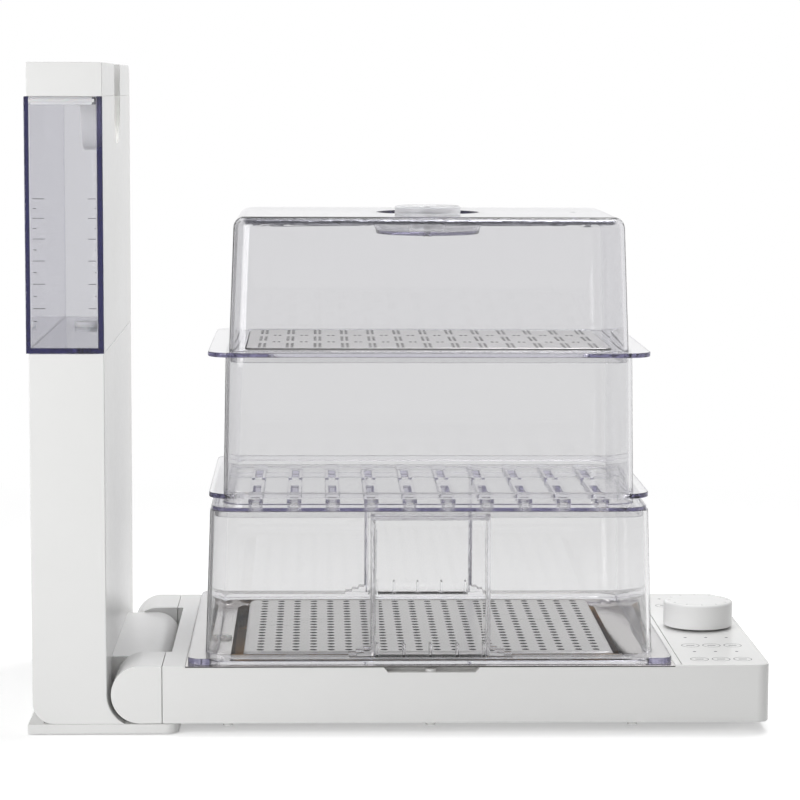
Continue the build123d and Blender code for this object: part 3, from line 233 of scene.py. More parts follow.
def paintShadeOnUpperEdge(material, color, dark, span):
    # Darkens the surface where it turns from the front or back to the top: a painted shade line
    # along the upper edge, in place of the dark line the clear edge shows
    tree = material.node_tree
    place = addNode(tree, "ShaderNodeTexCoord")
    size = addNode(tree, "ShaderNodeVectorMath", operation="ABSOLUTE")
    parts = addNode(tree, "ShaderNodeSeparateXYZ")
    join(tree, place.outputs["Normal"], size.inputs[0])
    join(tree, size.outputs["Vector"], parts.inputs["Vector"])
    turned = mathNode(tree, "MULTIPLY", parts.outputs["Y"], parts.outputs["Z"])
    level = addNode(tree, "ShaderNodeMapRange", {"From Min": span[0], "From Max": span[1]})
    mix = addNode(tree, "ShaderNodeMix", data_type="RGBA")
    mix.inputs["A"].default_value = (*color, 1)
    mix.inputs["B"].default_value = (*dark, 1)
    join(tree, turned, level.inputs["Value"])
    join(tree, level.outputs["Result"], mix.inputs["Factor"])
    join(tree, mix.outputs["Result"], patternOf(material).inputs["Color"])


clearSizes = {"index": 1.5, "shadow": (0.97, 0.97, 0.97, 1), "airFilm": 0.1}


def clearPlastic(name, color, roughness, tint, density):
    # Clear polycarbonate: its tint gathers along the edges, and its shadow lets the light through
    material = plastic(
        name, color, roughness, drift=0.01, spread=0.02, grain=120.0, bump=0.0,
        **{"Transmission Weight": 1.0, "IOR": clearSizes["index"]},
    )
    tree = material.node_tree
    principled = tree.nodes["Principled BSDF"]
    output = tree.nodes["Material Output"]
    passing = addNode(tree, "ShaderNodeBsdfTransparent", {"Color": clearSizes["shadow"]})
    ray = addNode(tree, "ShaderNodeLightPath")
    mix = addNode(tree, "ShaderNodeMixShader")
    join(tree, ray.outputs["Is Shadow Ray"], mix.inputs["Fac"])
    join(tree, principled.outputs["BSDF"], mix.inputs[1])
    join(tree, passing.outputs["BSDF"], mix.inputs[2])
    join(tree, mix.outputs["Shader"], output.inputs["Surface"])
    absorb = addNode(tree, "ShaderNodeVolumeAbsorption", {"Color": (*tint, 1), "Density": density})
    join(tree, absorb.outputs["Volume"], output.inputs["Volume"])
    return material


glossWhite = plastic("glossWhite", (0.86, 0.86, 0.85), 0.24, drift=0.02, grain=300.0, bump=0.02,
                     **{"Specular IOR Level": 0.32})
satinWhite = plastic("satinWhite", (0.84, 0.84, 0.83), 0.38, grain=1400.0, bump=0.12)
insideGrey = plastic("insideGrey", (0.30, 0.30, 0.32), 0.5, drift=0.08, grain=1200.0, bump=0.15)
milkyRubber = plastic("milkyRubber", (0.74, 0.73, 0.70), 0.55, drift=0.06, grain=700.0, bump=0.08,
                      **{"Subsurface Weight": 0.15, "Subsurface Scale": 0.004})
darkRubber = plastic("darkRubber", (0.05, 0.05, 0.052), 0.65, drift=0.2, spread=0.15,
                     grain=1500.0, bump=0.3)
greenBoard = plastic("greenBoard", (0.02, 0.11, 0.05), 0.35, drift=0.3, spread=0.2,
                     grain=260.0, bump=0.25)
lensGrey = plastic("lensGrey", (0.17, 0.175, 0.19), 0.25, drift=0.05)
printInk = plastic("printInk", (0.09, 0.09, 0.10), 0.5, drift=0.1)
# White of the knob pocket, with a faint glow of painted light
pocketWhite = plastic("pocketWhite", (0.95, 0.95, 0.93), 0.4, drift=0.01,
                      **{"Emission Color": (1, 1, 0.96, 1), "Emission Strength": 0.06})
milkyPlastic = plastic("milkyPlastic", (0.80, 0.80, 0.79), 0.4, grain=800.0, bump=0.05)
trayColor, trayTint, lidColor = (0.84, 0.84, 0.84), (0.33, 0.30, 0.53), (0.855, 0.855, 0.855)
clearTray = clearPlastic("clearTray", trayColor, 0.02, trayTint, 13.5)
clearLower = clearPlastic("clearLower", trayColor, 0.02, trayTint, 6.0)
clearLid = clearPlastic("clearLid", lidColor, 0.02, (0.28, 0.25, 0.45), 26.0)
frostedClear = clearPlastic("frostedClear", (0.86, 0.86, 0.87), 0.3, (0.6, 0.6, 0.65), 4.0)
tintedTank = clearPlastic("tintedTank", (0.80, 0.80, 0.805), 0.03, (0.15, 0.12, 0.52), 20.0)
# Painted shade line along the lid's top edge
paintShadeOnUpperEdge(clearLid, lidColor, (0.1, 0.1, 0.12), (0.36, 0.44))
plateSteel = metal("plateSteel", (0.60, 0.59, 0.585), 0.30)
panSteel = metal("panSteel", (0.66, 0.64, 0.63), 0.22, contrast=0.2)
# Steel of the pan's basin: painted shade darkens it under the plate, with painted amber reflections
# near its floor and near its rim
basinSteel = metal("basinSteel", (0.1, 0.08, 0.06), 0.3, contrast=0.2,
                   **{"Specular Tint": (0.34, 0.21, 0.11, 1)})
shadeByHeight(basinSteel, (0.022, 0.0375),
              ((0.0, (0.40, 0.28, 0.17)), (0.1, (0.16, 0.10, 0.06)), (0.5, (0.05, 0.033, 0.02)),
               (1.0, (0.30, 0.20, 0.11))))
# Dark steel of painted shade: on the plates' hole walls, the rolled rims' downward faces and the
# pan's rim sides, in place of the shade and dark reflections there
paintedShadeSteel = metal("paintedShadeSteel", (0.05, 0.048, 0.045), 0.5,
                     **{"Specular Tint": (0.12, 0.12, 0.12, 1)})
pinSteel = metal("pinSteel", (0.58, 0.58, 0.58), 0.22, stretch=(700.0, 30.0, 700.0))
screwSteel = metal("screwSteel", (0.50, 0.50, 0.49), 0.32, stretch=(300.0, 300.0, 300.0))
castAlloy = metal("castAlloy", (0.62, 0.62, 0.63), 0.5, stretch=(400.0, 400.0, 400.0), bump=0.3)
elementSteel = metal("elementSteel", (0.30, 0.27, 0.25), 0.4, contrast=0.35,
                     stretch=(250.0, 250.0, 60.0))

finishes = {
    "white_shell": glossWhite, "white_foot": satinWhite, "clear_tray": clearTray,
    "tinted_tank": tintedTank, "steel_plate": plateSteel, "steel_pan": panSteel,
    "steel_pin": pinSteel, "screw_steel": screwSteel, "cast_alloy": castAlloy,
    "element_steel": elementSteel, "silicone": milkyRubber, "foot_rubber": darkRubber,
    "circuit_board": greenBoard, "inner_plastic": insideGrey, "light_lens": lensGrey,
}
slotOf = {part["node"]: part["material_slot"] for part in frame["record"]["subparts"]}
for name, piece in nodes.items():
    piece.data.materials.clear()
    piece.data.materials.append(finishes[slotOf[name]])
print("materials made:", len(finishes))


# Pieces with softened edges, made from the model's own shapes

def finishPiece(piece, node, replaced=()):
    body = nodes[node]["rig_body"]
    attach(piece, body)
    if replaced:
        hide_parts(*replaced)
    return piece


edgeSizes = {"merge": 2e-6, "flat": 0.6, "angle": 32.0, "segments": 2, "faceWeight": 100}
# Round these places the edges stay plain: the screw bosses next to the column's walls
plainReach = 5.6
plainSpots = {
    "column_shell": [(x, y, 6.7) for x in (-209.1, -184.9) for y in (-113.25, 113.25)],
}


def isPlain(node, edge):
    middle = (edge.verts[0].co + edge.verts[1].co) / 2
    spots = (Vector(spot) * mm for spot in plainSpots.get(node, ()))
    return any((middle - spot).length < plainReach * mm for spot in spots)


def bakedMesh(thing):
    # What an object's modifiers make of it, as a plain mesh
    bpy.context.view_layer.update()
    shown = thing.evaluated_get(bpy.context.evaluated_depsgraph_get())
    return bpy.data.meshes.new_from_object(shown)


def softCopy(node, width, material):
    # The node's mesh, merged, with its flat faces joined and its sharp edges rounded
    angle = math.radians(edgeSizes["angle"])
    mesh = nodes[node].data.copy()
    work = bmesh.new()
    work.from_mesh(mesh)
    bmesh.ops.remove_doubles(work, verts=work.verts, dist=edgeSizes["merge"])
    bmesh.ops.dissolve_limit(work, angle_limit=math.radians(edgeSizes["flat"]),
                             verts=work.verts, edges=work.edges)
    weights = work.edges.layers.float.new("bevel_weight_edge")
    for edge in work.edges:
        if len(edge.link_faces) == 2 and edge.calc_face_angle() > angle:
            edge[weights] = 0.0 if isPlain(node, edge) else 1.0
    work.to_mesh(mesh)
    work.free()
    mesh.materials.clear()
    mesh.materials.append(material)
    if slotOf[node] in ("clear_tray", "tinted_tank"):
        # A film of air lies between a clear piece and what it rests on
        low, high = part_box(node)
        middle, span = (low + high) / 2, high - low
        for vertex in mesh.vertices:
            for side in range(3):
                inwards = (middle[side] - vertex.co[side]) / span[side]
                vertex.co[side] += inwards * clearSizes["airFilm"] * mm
    soft = bpy.data.objects.new(node + "Soft", mesh)
    bpy.context.scene.collection.objects.link(soft)
    bevel = soft.modifiers.new("edges", "BEVEL")
    bevel.width = width * mm
    bevel.segments = edgeSizes["segments"]
    bevel.limit_method = "WEIGHT" if node in plainSpots else "ANGLE"
    bevel.angle_limit = angle
    bevel.use_clamp_overlap = False
    bevel.miter_outer = "MITER_SHARP"
    flat = soft.modifiers.new("flats", "WEIGHTED_NORMAL")
    flat.mode = "FACE_AREA"
    flat.weight = edgeSizes["faceWeight"]
    for polygon in mesh.polygons:
        polygon.use_smooth = True
    baked = bakedMesh(soft)
    soft.modifiers.clear()
    soft.data = baked
    return finishPiece(soft, node, (node,))


softEdges = {
    "column_shell": 0.6, "foot_plate": 0.5, "hinge_knuckle": 0.3, "ear_front": 0.35,
    "ear_back": 0.35, "base_shell": 0.35, "base_cover": 0.3, "control_panel": 0.15, "knob": 0.6,
    "tank_jacket": 0.2, "water_tank": 0.6, "tank_cap": 0.5, "steam_pan": 0.25, "lower_tier": 0.45,
    "middle_tier": 0.4, "upper_tray": 0.5, "lid": 0.4, "lid_knob": 0.4,
}
otherFinish = {"lid": clearLid, "lid_knob": frostedClear, "lower_tier": clearLower}
softened = {}
for node, width in softEdges.items():
    softened[node] = softCopy(node, width, otherFinish.get(node, finishes[slotOf[node]]))
nodes["tank_valve"].data.materials[0] = milkyPlastic

# Faces moved a little, to open the seams and to bring the tank's side wall next to its jacket:
# piece, axis, from, to and shift
movedFaces = (
    ("ear_front", 0, -142.2, -141.0, -0.35), ("ear_back", 0, -142.2, -141.0, -0.35),
    ("tank_jacket", 2, 228.0, 228.8, 0.4), ("tank_jacket", 0, -177.4, -176.3, 1.6),
    ("water_tank", 0, -180.4, -176.2, 1.45),
)
for node, axis, nearest, farthest, shift in movedFaces:
    for vertex in softened[node].data.vertices:
        if nearest * mm < vertex.co[axis] < farthest * mm:
            vertex.co[axis] += shift * mm

# The pan's basin ends a little beyond the perforated plate, with a shelf on either side of it:
# left and right are from, to, highest and shift
basinEdges = {
    "shelf": 37.5, "step": 0.2, "rim": 0.9, "rimSlope": 0.8,
    "left": (-99.5, -83.5, 37.7, -5.5), "right": (140.0, 158.0, 37.4, -18.0),
}
basinTop = (basinEdges["shelf"] - basinEdges["step"]) * mm
panMesh = softened["steam_pan"].data
work = bmesh.new()
work.from_mesh(panMesh)
for height in (basinTop, basinEdges["shelf"] * mm):
    bmesh.ops.bisect_plane(work, geom=work.verts[:] + work.edges[:] + work.faces[:], dist=1e-7,
                           plane_co=(0, 0, height), plane_no=(0, 0, 1))
for vertex in work.verts:
    for nearest, farthest, top, shift in (basinEdges["left"], basinEdges["right"]):
        if vertex.co.z < top * mm and nearest * mm < vertex.co.x < farthest * mm:
            vertex.co.x += shift * mm
            break
work.to_mesh(panMesh)
work.free()
panMesh.materials.append(basinSteel)
panMesh.materials.append(paintedShadeSteel)
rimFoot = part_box("steam_pan")[1].z - basinEdges["rim"] * mm
# Faces below the shelf take the basin steel with its painted shade; steep faces round the pan's top
# rim take the dark steel of painted shade
for polygon in panMesh.polygons:
    if polygon.center.z < basinTop:
        polygon.material_index = 1
    elif polygon.center.z > rimFoot and abs(polygon.normal.z) < basinEdges["rimSlope"]:
        polygon.material_index = 2

# Tank and jacket are moulded white round the knob pocket; that white glows faintly, painted light
# that lifts the pocket out of its shade
tankMesh = softened["water_tank"].data
tankMesh.materials.append(pocketWhite)
pocketSpace = {"low": (-196.5, -26.5, 340.0), "high": (-180.0, 34.0, 378.5), "mouth": -176.2}
pocketSides = list(zip(pocketSpace["low"], pocketSpace["high"]))
for polygon in tankMesh.polygons:
    if all(low * mm < at < high * mm for at, (low, high) in zip(polygon.center, pocketSides)):
        polygon.material_index = 1
jacketMesh = softened["tank_jacket"].data
jacketMesh.materials.append(pocketWhite)
for polygon in jacketMesh.polygons:
    polygon.material_index = int(polygon.center.x < pocketSpace["mouth"] * mm)
print("softened pieces:", len(softEdges))


# Geometry node trees for what repeats

def repeatOnGrid(tree, thing, countX, countY, pitchX, pitchY):
    # Puts copies of a curve or mesh on a centred grid of points
    grid = addNode(tree, "GeometryNodeMeshGrid")
    for count, pitch, side in ((countX, pitchX, "X"), (countY, pitchY, "Y")):
        span = mathNode(tree, "MULTIPLY", mathNode(tree, "SUBTRACT", count, 1), pitch)
        join(tree, span, grid.inputs["Size " + side])
        if isinstance(count, int):
            grid.inputs["Vertices " + side].default_value = count
        else:
            join(tree, count, grid.inputs["Vertices " + side])
    copies = addNode(tree, "GeometryNodeInstanceOnPoints")
    join(tree, grid.outputs["Mesh"], copies.inputs["Points"])
    join(tree, thing, copies.inputs["Instance"])
    real = addNode(tree, "GeometryNodeRealizeInstances")
    join(tree, copies.outputs["Instances"], real.inputs["Geometry"])
    return real.outputs["Geometry"]


def moved(tree, thing, offset=None, scale=None):
    made = addNode(tree, "GeometryNodeTransform")
    join(tree, thing, made.inputs["Geometry"])
    if offset is not None:
        join(tree, offset, made.inputs["Translation"])
    if scale is not None:
        join(tree, scale, made.inputs["Scale"])
    return made.outputs["Geometry"]


def vectorOf(tree, x, y, z):
    made = addNode(tree, "ShaderNodeCombineXYZ")
    for side, value in zip("XYZ", (x, y, z)):
        if isinstance(value, (int, float)):
            made.inputs[side].default_value = value
        else:
            join(tree, value, made.inputs[side])
    return made.outputs["Vector"]


def together(tree, *things):
    made = addNode(tree, "GeometryNodeJoinGeometry")
    for thing in things:
        join(tree, thing, made.inputs["Geometry"])
    return made.outputs["Geometry"]


def closeTree(tree, thing, entry, leaving):
    # Every tree ends the same way: place it, realize it, give it its material
    placed = moved(tree, thing, entry.outputs["Origin"])
    real = addNode(tree, "GeometryNodeRealizeInstances")
    coated = addNode(tree, "GeometryNodeSetMaterial")
    join(tree, placed, real.inputs["Geometry"])
    join(tree, real.outputs["Geometry"], coated.inputs["Geometry"])
    join(tree, entry.outputs["Material"], coated.inputs["Material"])
    join(tree, coated.outputs["Geometry"], leaving.inputs["Geometry"])


def floats(*names):
    return [(name, "NodeSocketFloat", 0.0) for name in names]


def counts(*names):
    return [(name, "NodeSocketInt", 1) for name in names]


def geometryTree(name, inputs):
    ends = [("Origin", "NodeSocketVector", None), ("Material", "NodeSocketMaterial", None)]
    return newGroup(name, "GeometryNodeTree", inputs + ends, [("Geometry", "NodeSocketGeometry")])


def thickened(tree, flat, thickness):
    # A flat sheet of faces pulled up into a closed solid
    pulled = addNode(tree, "GeometryNodeExtrudeMesh", {"Individual": False}, mode="FACES")
    join(tree, flat, pulled.inputs["Mesh"])
    join(tree, thickness, pulled.inputs["Offset Scale"])
    under = addNode(tree, "GeometryNodeFlipFaces")
    join(tree, flat, under.inputs["Mesh"])
    merged = addNode(tree, "GeometryNodeMergeByDistance", {"Distance": 1e-6})
    both = together(tree, pulled.outputs["Mesh"], under.outputs["Mesh"])
    join(tree, both, merged.inputs["Geometry"])
    return merged.outputs["Geometry"]


def makePerforatedSheet():
    # Rounded sheet with a grid of blocks of small holes, and shorter blocks between them
    tree, entry, leaving = geometryTree(
        "perforatedSheet",
        floats("Width", "Depth", "Corner", "Thickness", "Hole Width", "Hole Length", "Hole Pitch X",
               "Hole Pitch Y", "Block Pitch X", "Block Pitch Y")
        + counts("Holes Across", "Holes Along", "Block Columns", "Block Rows", "Pair Columns",
                 "Pair Rows"))
    given = entry.outputs
    outline = addNode(tree, "GeometryNodeCurvePrimitiveQuadrilateral")
    join(tree, given["Width"], outline.inputs["Width"])
    join(tree, given["Depth"], outline.inputs["Height"])
    rounded = addNode(tree, "GeometryNodeFilletCurve", {"Count": 8}, mode="POLY")
    join(tree, outline.outputs["Curve"], rounded.inputs["Curve"])
    join(tree, given["Corner"], rounded.inputs["Radius"])
    circle = addNode(tree, "GeometryNodeCurvePrimitiveCircle", {"Resolution": 14, "Radius": 0.5})
    size = vectorOf(tree, given["Hole Width"], given["Hole Length"], 1.0)
    hole = moved(tree, circle.outputs["Curve"], scale=size)
    block = repeatOnGrid(tree, hole, given["Holes Across"], given["Holes Along"],
                         given["Hole Pitch X"], given["Hole Pitch Y"])
    blocks = repeatOnGrid(tree, block, given["Block Columns"], given["Block Rows"],
                          given["Block Pitch X"], given["Block Pitch Y"])
    pair = repeatOnGrid(tree, hole, given["Holes Across"], 1, given["Hole Pitch X"],
                        given["Hole Pitch Y"])
    pairs = repeatOnGrid(tree, pair, given["Pair Columns"], given["Pair Rows"],
                         given["Block Pitch X"], given["Block Pitch Y"])
    fill = addNode(tree, "GeometryNodeFillCurve", mode="TRIANGLES")
    join(tree, together(tree, rounded.outputs["Curve"], blocks, pairs), fill.inputs["Curve"])
    closeTree(tree, thickened(tree, fill.outputs["Mesh"], given["Thickness"]), entry, leaving)
    return tree


def makePrintedMarks():
    # Thin rings with a bar inside, on a grid
    tree, entry, leaving = geometryTree(
        "printedMarks",
        floats("Ring Radius", "Line", "Height", "Bar Length", "Pitch X", "Pitch Y")
        + counts("Columns", "Rows"))
    given = entry.outputs
    ring = addNode(tree, "GeometryNodeCurvePrimitiveCircle", {"Resolution": 28})
    join(tree, given["Ring Radius"], ring.inputs["Radius"])
    section = addNode(tree, "GeometryNodeCurvePrimitiveQuadrilateral")
    join(tree, given["Line"], section.inputs["Width"])
    join(tree, given["Height"], section.inputs["Height"])
    band = addNode(tree, "GeometryNodeCurveToMesh")
    join(tree, ring.outputs["Curve"], band.inputs["Curve"])
    join(tree, section.outputs["Curve"], band.inputs["Profile Curve"])
    bar = addNode(tree, "GeometryNodeMeshCube")
    thick = mathNode(tree, "MULTIPLY", given["Line"], 3.0)
    join(tree, vectorOf(tree, given["Bar Length"], thick, given["Height"]), bar.inputs["Size"])
    icon = together(tree, band.outputs["Mesh"], bar.outputs["Mesh"])
    marks = repeatOnGrid(tree, icon, given["Columns"], given["Rows"], given["Pitch X"],
                         given["Pitch Y"])
    closeTree(tree, marks, entry, leaving)
    return tree


def makeLevelScale():
    # Bars one under the other, their distance growing downwards
    tree, entry, leaving = geometryTree(
        "levelScale",
        floats("Length", "Line", "Height", "First Step", "Step Growth", "Start") + counts("Count"))
    given = entry.outputs
    bar = addNode(tree, "GeometryNodeMeshCube")
    join(tree, vectorOf(tree, given["Length"], given["Height"], given["Line"]), bar.inputs["Size"])
    points = addNode(tree, "GeometryNodeMeshLine")
    join(tree, given["Count"], points.inputs["Count"])
    index = addNode(tree, "GeometryNodeInputIndex").outputs["Index"]
    number = mathNode(tree, "ADD", index, given["Start"])
    drop = mathNode(tree, "MULTIPLY", number, given["First Step"])
    square = mathNode(tree, "MULTIPLY", number, number)
    growth = mathNode(tree, "MULTIPLY", square, given["Step Growth"])
    level = mathNode(tree, "MULTIPLY", mathNode(tree, "ADD", drop, growth), -1.0)
    place = addNode(tree, "GeometryNodeSetPosition")
    join(tree, points.outputs["Mesh"], place.inputs["Geometry"])
    join(tree, vectorOf(tree, 0.0, 0.0, level), place.inputs["Position"])
    copies = addNode(tree, "GeometryNodeInstanceOnPoints")
    join(tree, place.outputs["Geometry"], copies.inputs["Points"])
    join(tree, bar.outputs["Mesh"], copies.inputs["Instance"])
    closeTree(tree, copies.outputs["Instances"], entry, leaving)
    return tree


def makeDialTicks():
    # Short strokes round a circle, each pointing to the middle
    tree, entry, leaving = geometryTree(
        "dialTicks", floats("Radius", "Length", "Line", "Height") + counts("Count"))
    given = entry.outputs
    bar = addNode(tree, "GeometryNodeMeshCube")
    join(tree, vectorOf(tree, given["Length"], given["Line"], given["Height"]), bar.inputs["Size"])
    ring = addNode(tree, "GeometryNodeMeshCircle")
    join(tree, given["Count"], ring.inputs["Vertices"])
    join(tree, given["Radius"], ring.inputs["Radius"])
    facing = addNode(tree, "FunctionNodeAlignRotationToVector", axis="X")
    position = addNode(tree, "GeometryNodeInputPosition").outputs["Position"]
    join(tree, position, facing.inputs["Vector"])
    copies = addNode(tree, "GeometryNodeInstanceOnPoints")
    join(tree, ring.outputs["Mesh"], copies.inputs["Points"])
    join(tree, bar.outputs["Mesh"], copies.inputs["Instance"])
    join(tree, facing.outputs["Rotation"], copies.inputs["Rotation"])
    closeTree(tree, copies.outputs["Instances"], entry, leaving)
    return tree


def grow(name, tree, values):
    # Runs a tree on an empty mesh and keeps what it makes as a plain mesh
    carrier = bpy.data.objects.new(name, bpy.data.meshes.new(name))
    bpy.context.scene.collection.objects.link(carrier)
    modifier = carrier.modifiers.new("grow", "NODES")
    modifier.node_group = tree
    sockets = {item.name: item.identifier for item in tree.interface.items_tree
               if item.item_type == "SOCKET" and item.in_out == "INPUT"}
    for key, value in values.items():
        modifier[sockets[key]] = value
    baked = bakedMesh(carrier)
    carrier.modifiers.clear()
    carrier.data = baked
    baked.materials.clear()
    baked.materials.append(values["Material"])
    baked.polygons.foreach_set("material_index", [0] * len(baked.polygons))
    return carrier


def meshOf(name, vertices, faces, material):
    # A plain mesh with its normals outwards and its corners kept sharp above an angle
    mesh = bpy.data.meshes.new(name)
    mesh.from_pydata([[c * mm for c in v] for v in vertices], [], faces)
    tidyMesh(mesh)
    mesh.materials.append(material)
    made = bpy.data.objects.new(name, mesh)
    bpy.context.scene.collection.objects.link(made)
    return made


def tidyMesh(mesh):
    work = bmesh.new()
    work.from_mesh(mesh)
    bmesh.ops.remove_doubles(work, verts=work.verts, dist=1e-7)
    bmesh.ops.recalc_face_normals(work, faces=work.faces)
    work.to_mesh(mesh)
    work.free()
    for polygon in mesh.polygons:
        polygon.use_smooth = True
    mesh.set_sharp_from_angle(angle=math.radians(sharpAngle))


def merged(name, objects):
    # Several finished objects as one mesh
    work = bmesh.new()
    slots = []
    for part in objects:
        first = len(work.faces)
        work.from_mesh(part.data)
        work.faces.ensure_lookup_table()
        given = list(part.data.materials)
        slots += [material for material in given if material not in slots]
        for face in work.faces[first:]:
            face.material_index = slots.index(given[face.material_index])
    mesh = bpy.data.meshes.new(name)
    work.to_mesh(mesh)
    work.free()
    for material in slots:
        mesh.materials.append(material)
    for part in objects:
        bpy.data.objects.remove(part)
    made = bpy.data.objects.new(name, mesh)
    bpy.context.scene.collection.objects.link(made)
    mesh.set_sharp_from_angle(angle=math.radians(sharpAngle))
    return made


def roundedPath(centreX, centreY, width, depth, radius, steps=8):
    # Points of a rounded rectangle with the outward direction at each
    path = []
    corners = ((1, 1), (-1, 1), (-1, -1), (1, -1))
    for quarter, (sideX, sideY) in enumerate(corners):
        for step in range(steps + 1):
            angle = math.pi / 2 * (quarter + step / steps)
            out = (math.cos(angle), math.sin(angle))
            path.append((centreX + sideX * (width / 2 - radius) + radius * out[0],
                         centreY + sideY * (depth / 2 - radius) + radius * out[1], *out))
    return path


def sweepRing(path, profile):
    # A closed profile of (out, z) points carried round a closed path
    vertices = []
    for x, y, outX, outY in path:
        for out, z in profile:
            vertices.append((x + out * outX, y + out * outY, z))
    size = len(profile)
    faces = []
    for i in range(len(path)):
        after = (i + 1) % len(path)
        for j in range(size):
            below = (j + 1) % size
            faces.append((i * size + j, i * size + below, after * size + below, after * size + j))
    return vertices, faces


def rolledEdge(top, height, bend, sheet, steps=5):
    # Profile of a sheet that bends down over an edge: outside first, then back along the inside
    outside = []
    inside = []
    for step in range(steps + 1):
        angle = math.pi / 2 * step / steps
        outside.append((-bend + bend * math.sin(angle), top - bend + bend * math.cos(angle)))
        inner = bend - sheet
        inside.append((-bend + inner * math.sin(angle), top - bend + inner * math.cos(angle)))
    return outside + [(0.0, top - height), (-sheet, top - height)] + inside[::-1]


def boxOf(low, high):
    corners = [(x, y, z) for z in (low[2], high[2]) for x, y in
               ((low[0], low[1]), (high[0], low[1]), (high[0], high[1]), (low[0], high[1]))]
    faces = [(3, 2, 1, 0), (4, 5, 6, 7), (0, 1, 5, 4), (1, 2, 6, 5), (2, 3, 7, 6), (3, 0, 4, 7)]
    return corners, faces


perforatedSheet = makePerforatedSheet()
printedMarks = makePrintedMarks()
levelScale = makeLevelScale()
dialTicks = makeDialTicks()


def inMetres(values):
    # Sizes are written in millimetres; counts and materials stay as they are
    return {key: value * mm if isinstance(value, float) else value for key, value in values.items()}


# Perforated plates: a pierced sheet with its edge rolled down

def perforatedPlate(node, sizes, legs=()):
    sheet, rim = sizes["sheet"], sizes["rim"]
    low, high = (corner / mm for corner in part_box(node))
    centreX, centreY = (low.x + high.x) / 2, (low.y + high.y) / 2
    width, depth = high.x - low.x, high.y - low.y
    bend = rim["bend"]
    inset = 2 * bend - rim["lap"]
    flat = grow(node + "Sheet", perforatedSheet, {
        **inMetres({"Width": width - inset, "Depth": depth - inset,
                    "Corner": rim["corner"] - bend, "Thickness": sheet, **sizes["holes"]}),
        "Origin": (centreX * mm, centreY * mm, (high.z - sheet) * mm), "Material": plateSteel})
    tidyMesh(flat.data)
    # Hole walls take the dark steel: painted shade inside the holes
    flat.data.materials.append(paintedShadeSteel)
    for polygon in flat.data.polygons:
        polygon.material_index = int(abs(polygon.normal.z) < sizes["holeWall"])
    path = roundedPath(centreX, centreY, width, depth, rim["corner"])
    profile = rolledEdge(high.z, rim["height"], bend, sheet)
    ring = meshOf(node + "Rim", *sweepRing(path, profile), plateSteel)
    # Downward faces of the rolled rim take the dark steel: painted shade and painted dark
    # reflection
    ring.data.materials.append(paintedShadeSteel)
    for polygon in ring.data.polygons:
        polygon.material_index = int(polygon.normal.z < rim["shade"])
    parts = [flat, ring]
    for place in legs:
        parts.append(meshOf(node + "Leg", *boxOf(*place), plateSteel))
    return finishPiece(merged(node + "Pierced", parts), node, (node,))


steamPlateSizes = {
    "sheet": 1.0, "holeWall": 0.5,
    "rim": {"corner": 6.0, "bend": 3.0, "height": 4.0, "lap": 0.1, "shade": 0.4},
    "holes": {"Hole Width": 4.6, "Hole Length": 4.6, "Block Pitch X": 10.78, "Block Pitch Y": 9.0,
              "Holes Across": 1, "Holes Along": 1, "Block Columns": 20, "Block Rows": 19,
              "Pair Columns": 0, "Pair Rows": 0},
    "leg": {"width": 14.0, "spread": 80.0, "thickness": 1.0, "drop": 3.6},
}
low, high = (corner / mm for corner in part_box("steam_plate"))
leg = steamPlateSizes["leg"]
tabs = []
for across in (-leg["spread"], leg["spread"]):
    for inner, outer in ((low.y, low.y + leg["thickness"]), (high.y - leg["thickness"], high.y)):
        centre = (low.x + high.x) / 2 + across
        tabs.append(((centre - leg["width"] / 2, inner, low.z),
                     (centre + leg["width"] / 2, outer, high.z - leg["drop"])))
perforatedPlate("steam_plate", steamPlateSizes, tabs)

upperPlateSizes = {
    "sheet": 1.0, "holeWall": 0.5,
    "rim": {"corner": 6.0, "bend": 1.6, "height": 3.0, "lap": 0.1, "shade": 0.8},
    "holes": {"Hole Width": 2.2, "Hole Length": 4.6, "Hole Pitch X": 3.0, "Hole Pitch Y": 7.6,
              "Block Pitch X": 16.96, "Block Pitch Y": 47.0, "Holes Across": 2, "Holes Along": 4,
              "Block Columns": 13, "Block Rows": 3, "Pair Columns": 12, "Pair Rows": 2},
}
perforatedPlate("upper_plate", upperPlateSizes)
print("perforated plates made")


# Printed marks on panel, knob and tank

panelPrint = {"centre": 194.6, "rows": (-101.3, -59.3, 75.0), "radius": 5.4, "line": 0.5,
              "height": 0.04, "bar": 5.0, "pitchX": 13.1, "columns": 3}
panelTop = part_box("control_panel")[1].z
rowsMade = []
for rowY in panelPrint["rows"]:
    rowsMade.append(grow("panelMarks", printedMarks, {
        **inMetres({"Ring Radius": panelPrint["radius"], "Line": panelPrint["line"],
                    "Height": panelPrint["height"], "Bar Length": panelPrint["bar"],
                    "Pitch X": panelPrint["pitchX"], "Columns": panelPrint["columns"], "Rows": 1}),
        "Origin": (panelPrint["centre"] * mm, rowY * mm, panelTop), "Material": printInk}))
finishPiece(merged("panelPrint", rowsMade), "control_panel")

knobPrint = {"radius": 18.6, "length": 1.8, "line": 0.5, "height": 0.04, "count": 12}
knobLow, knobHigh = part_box("knob")
ticks = grow("knobTicks", dialTicks, {
    **inMetres({"Radius": knobPrint["radius"], "Length": knobPrint["length"],
                "Line": knobPrint["line"], "Height": knobPrint["height"],
                "Count": knobPrint["count"]}),
    "Origin": ((knobLow.x + knobHigh.x) / 2, (knobLow.y + knobHigh.y) / 2, knobHigh.z),
    "Material": printInk})
finishPiece(ticks, "knob")

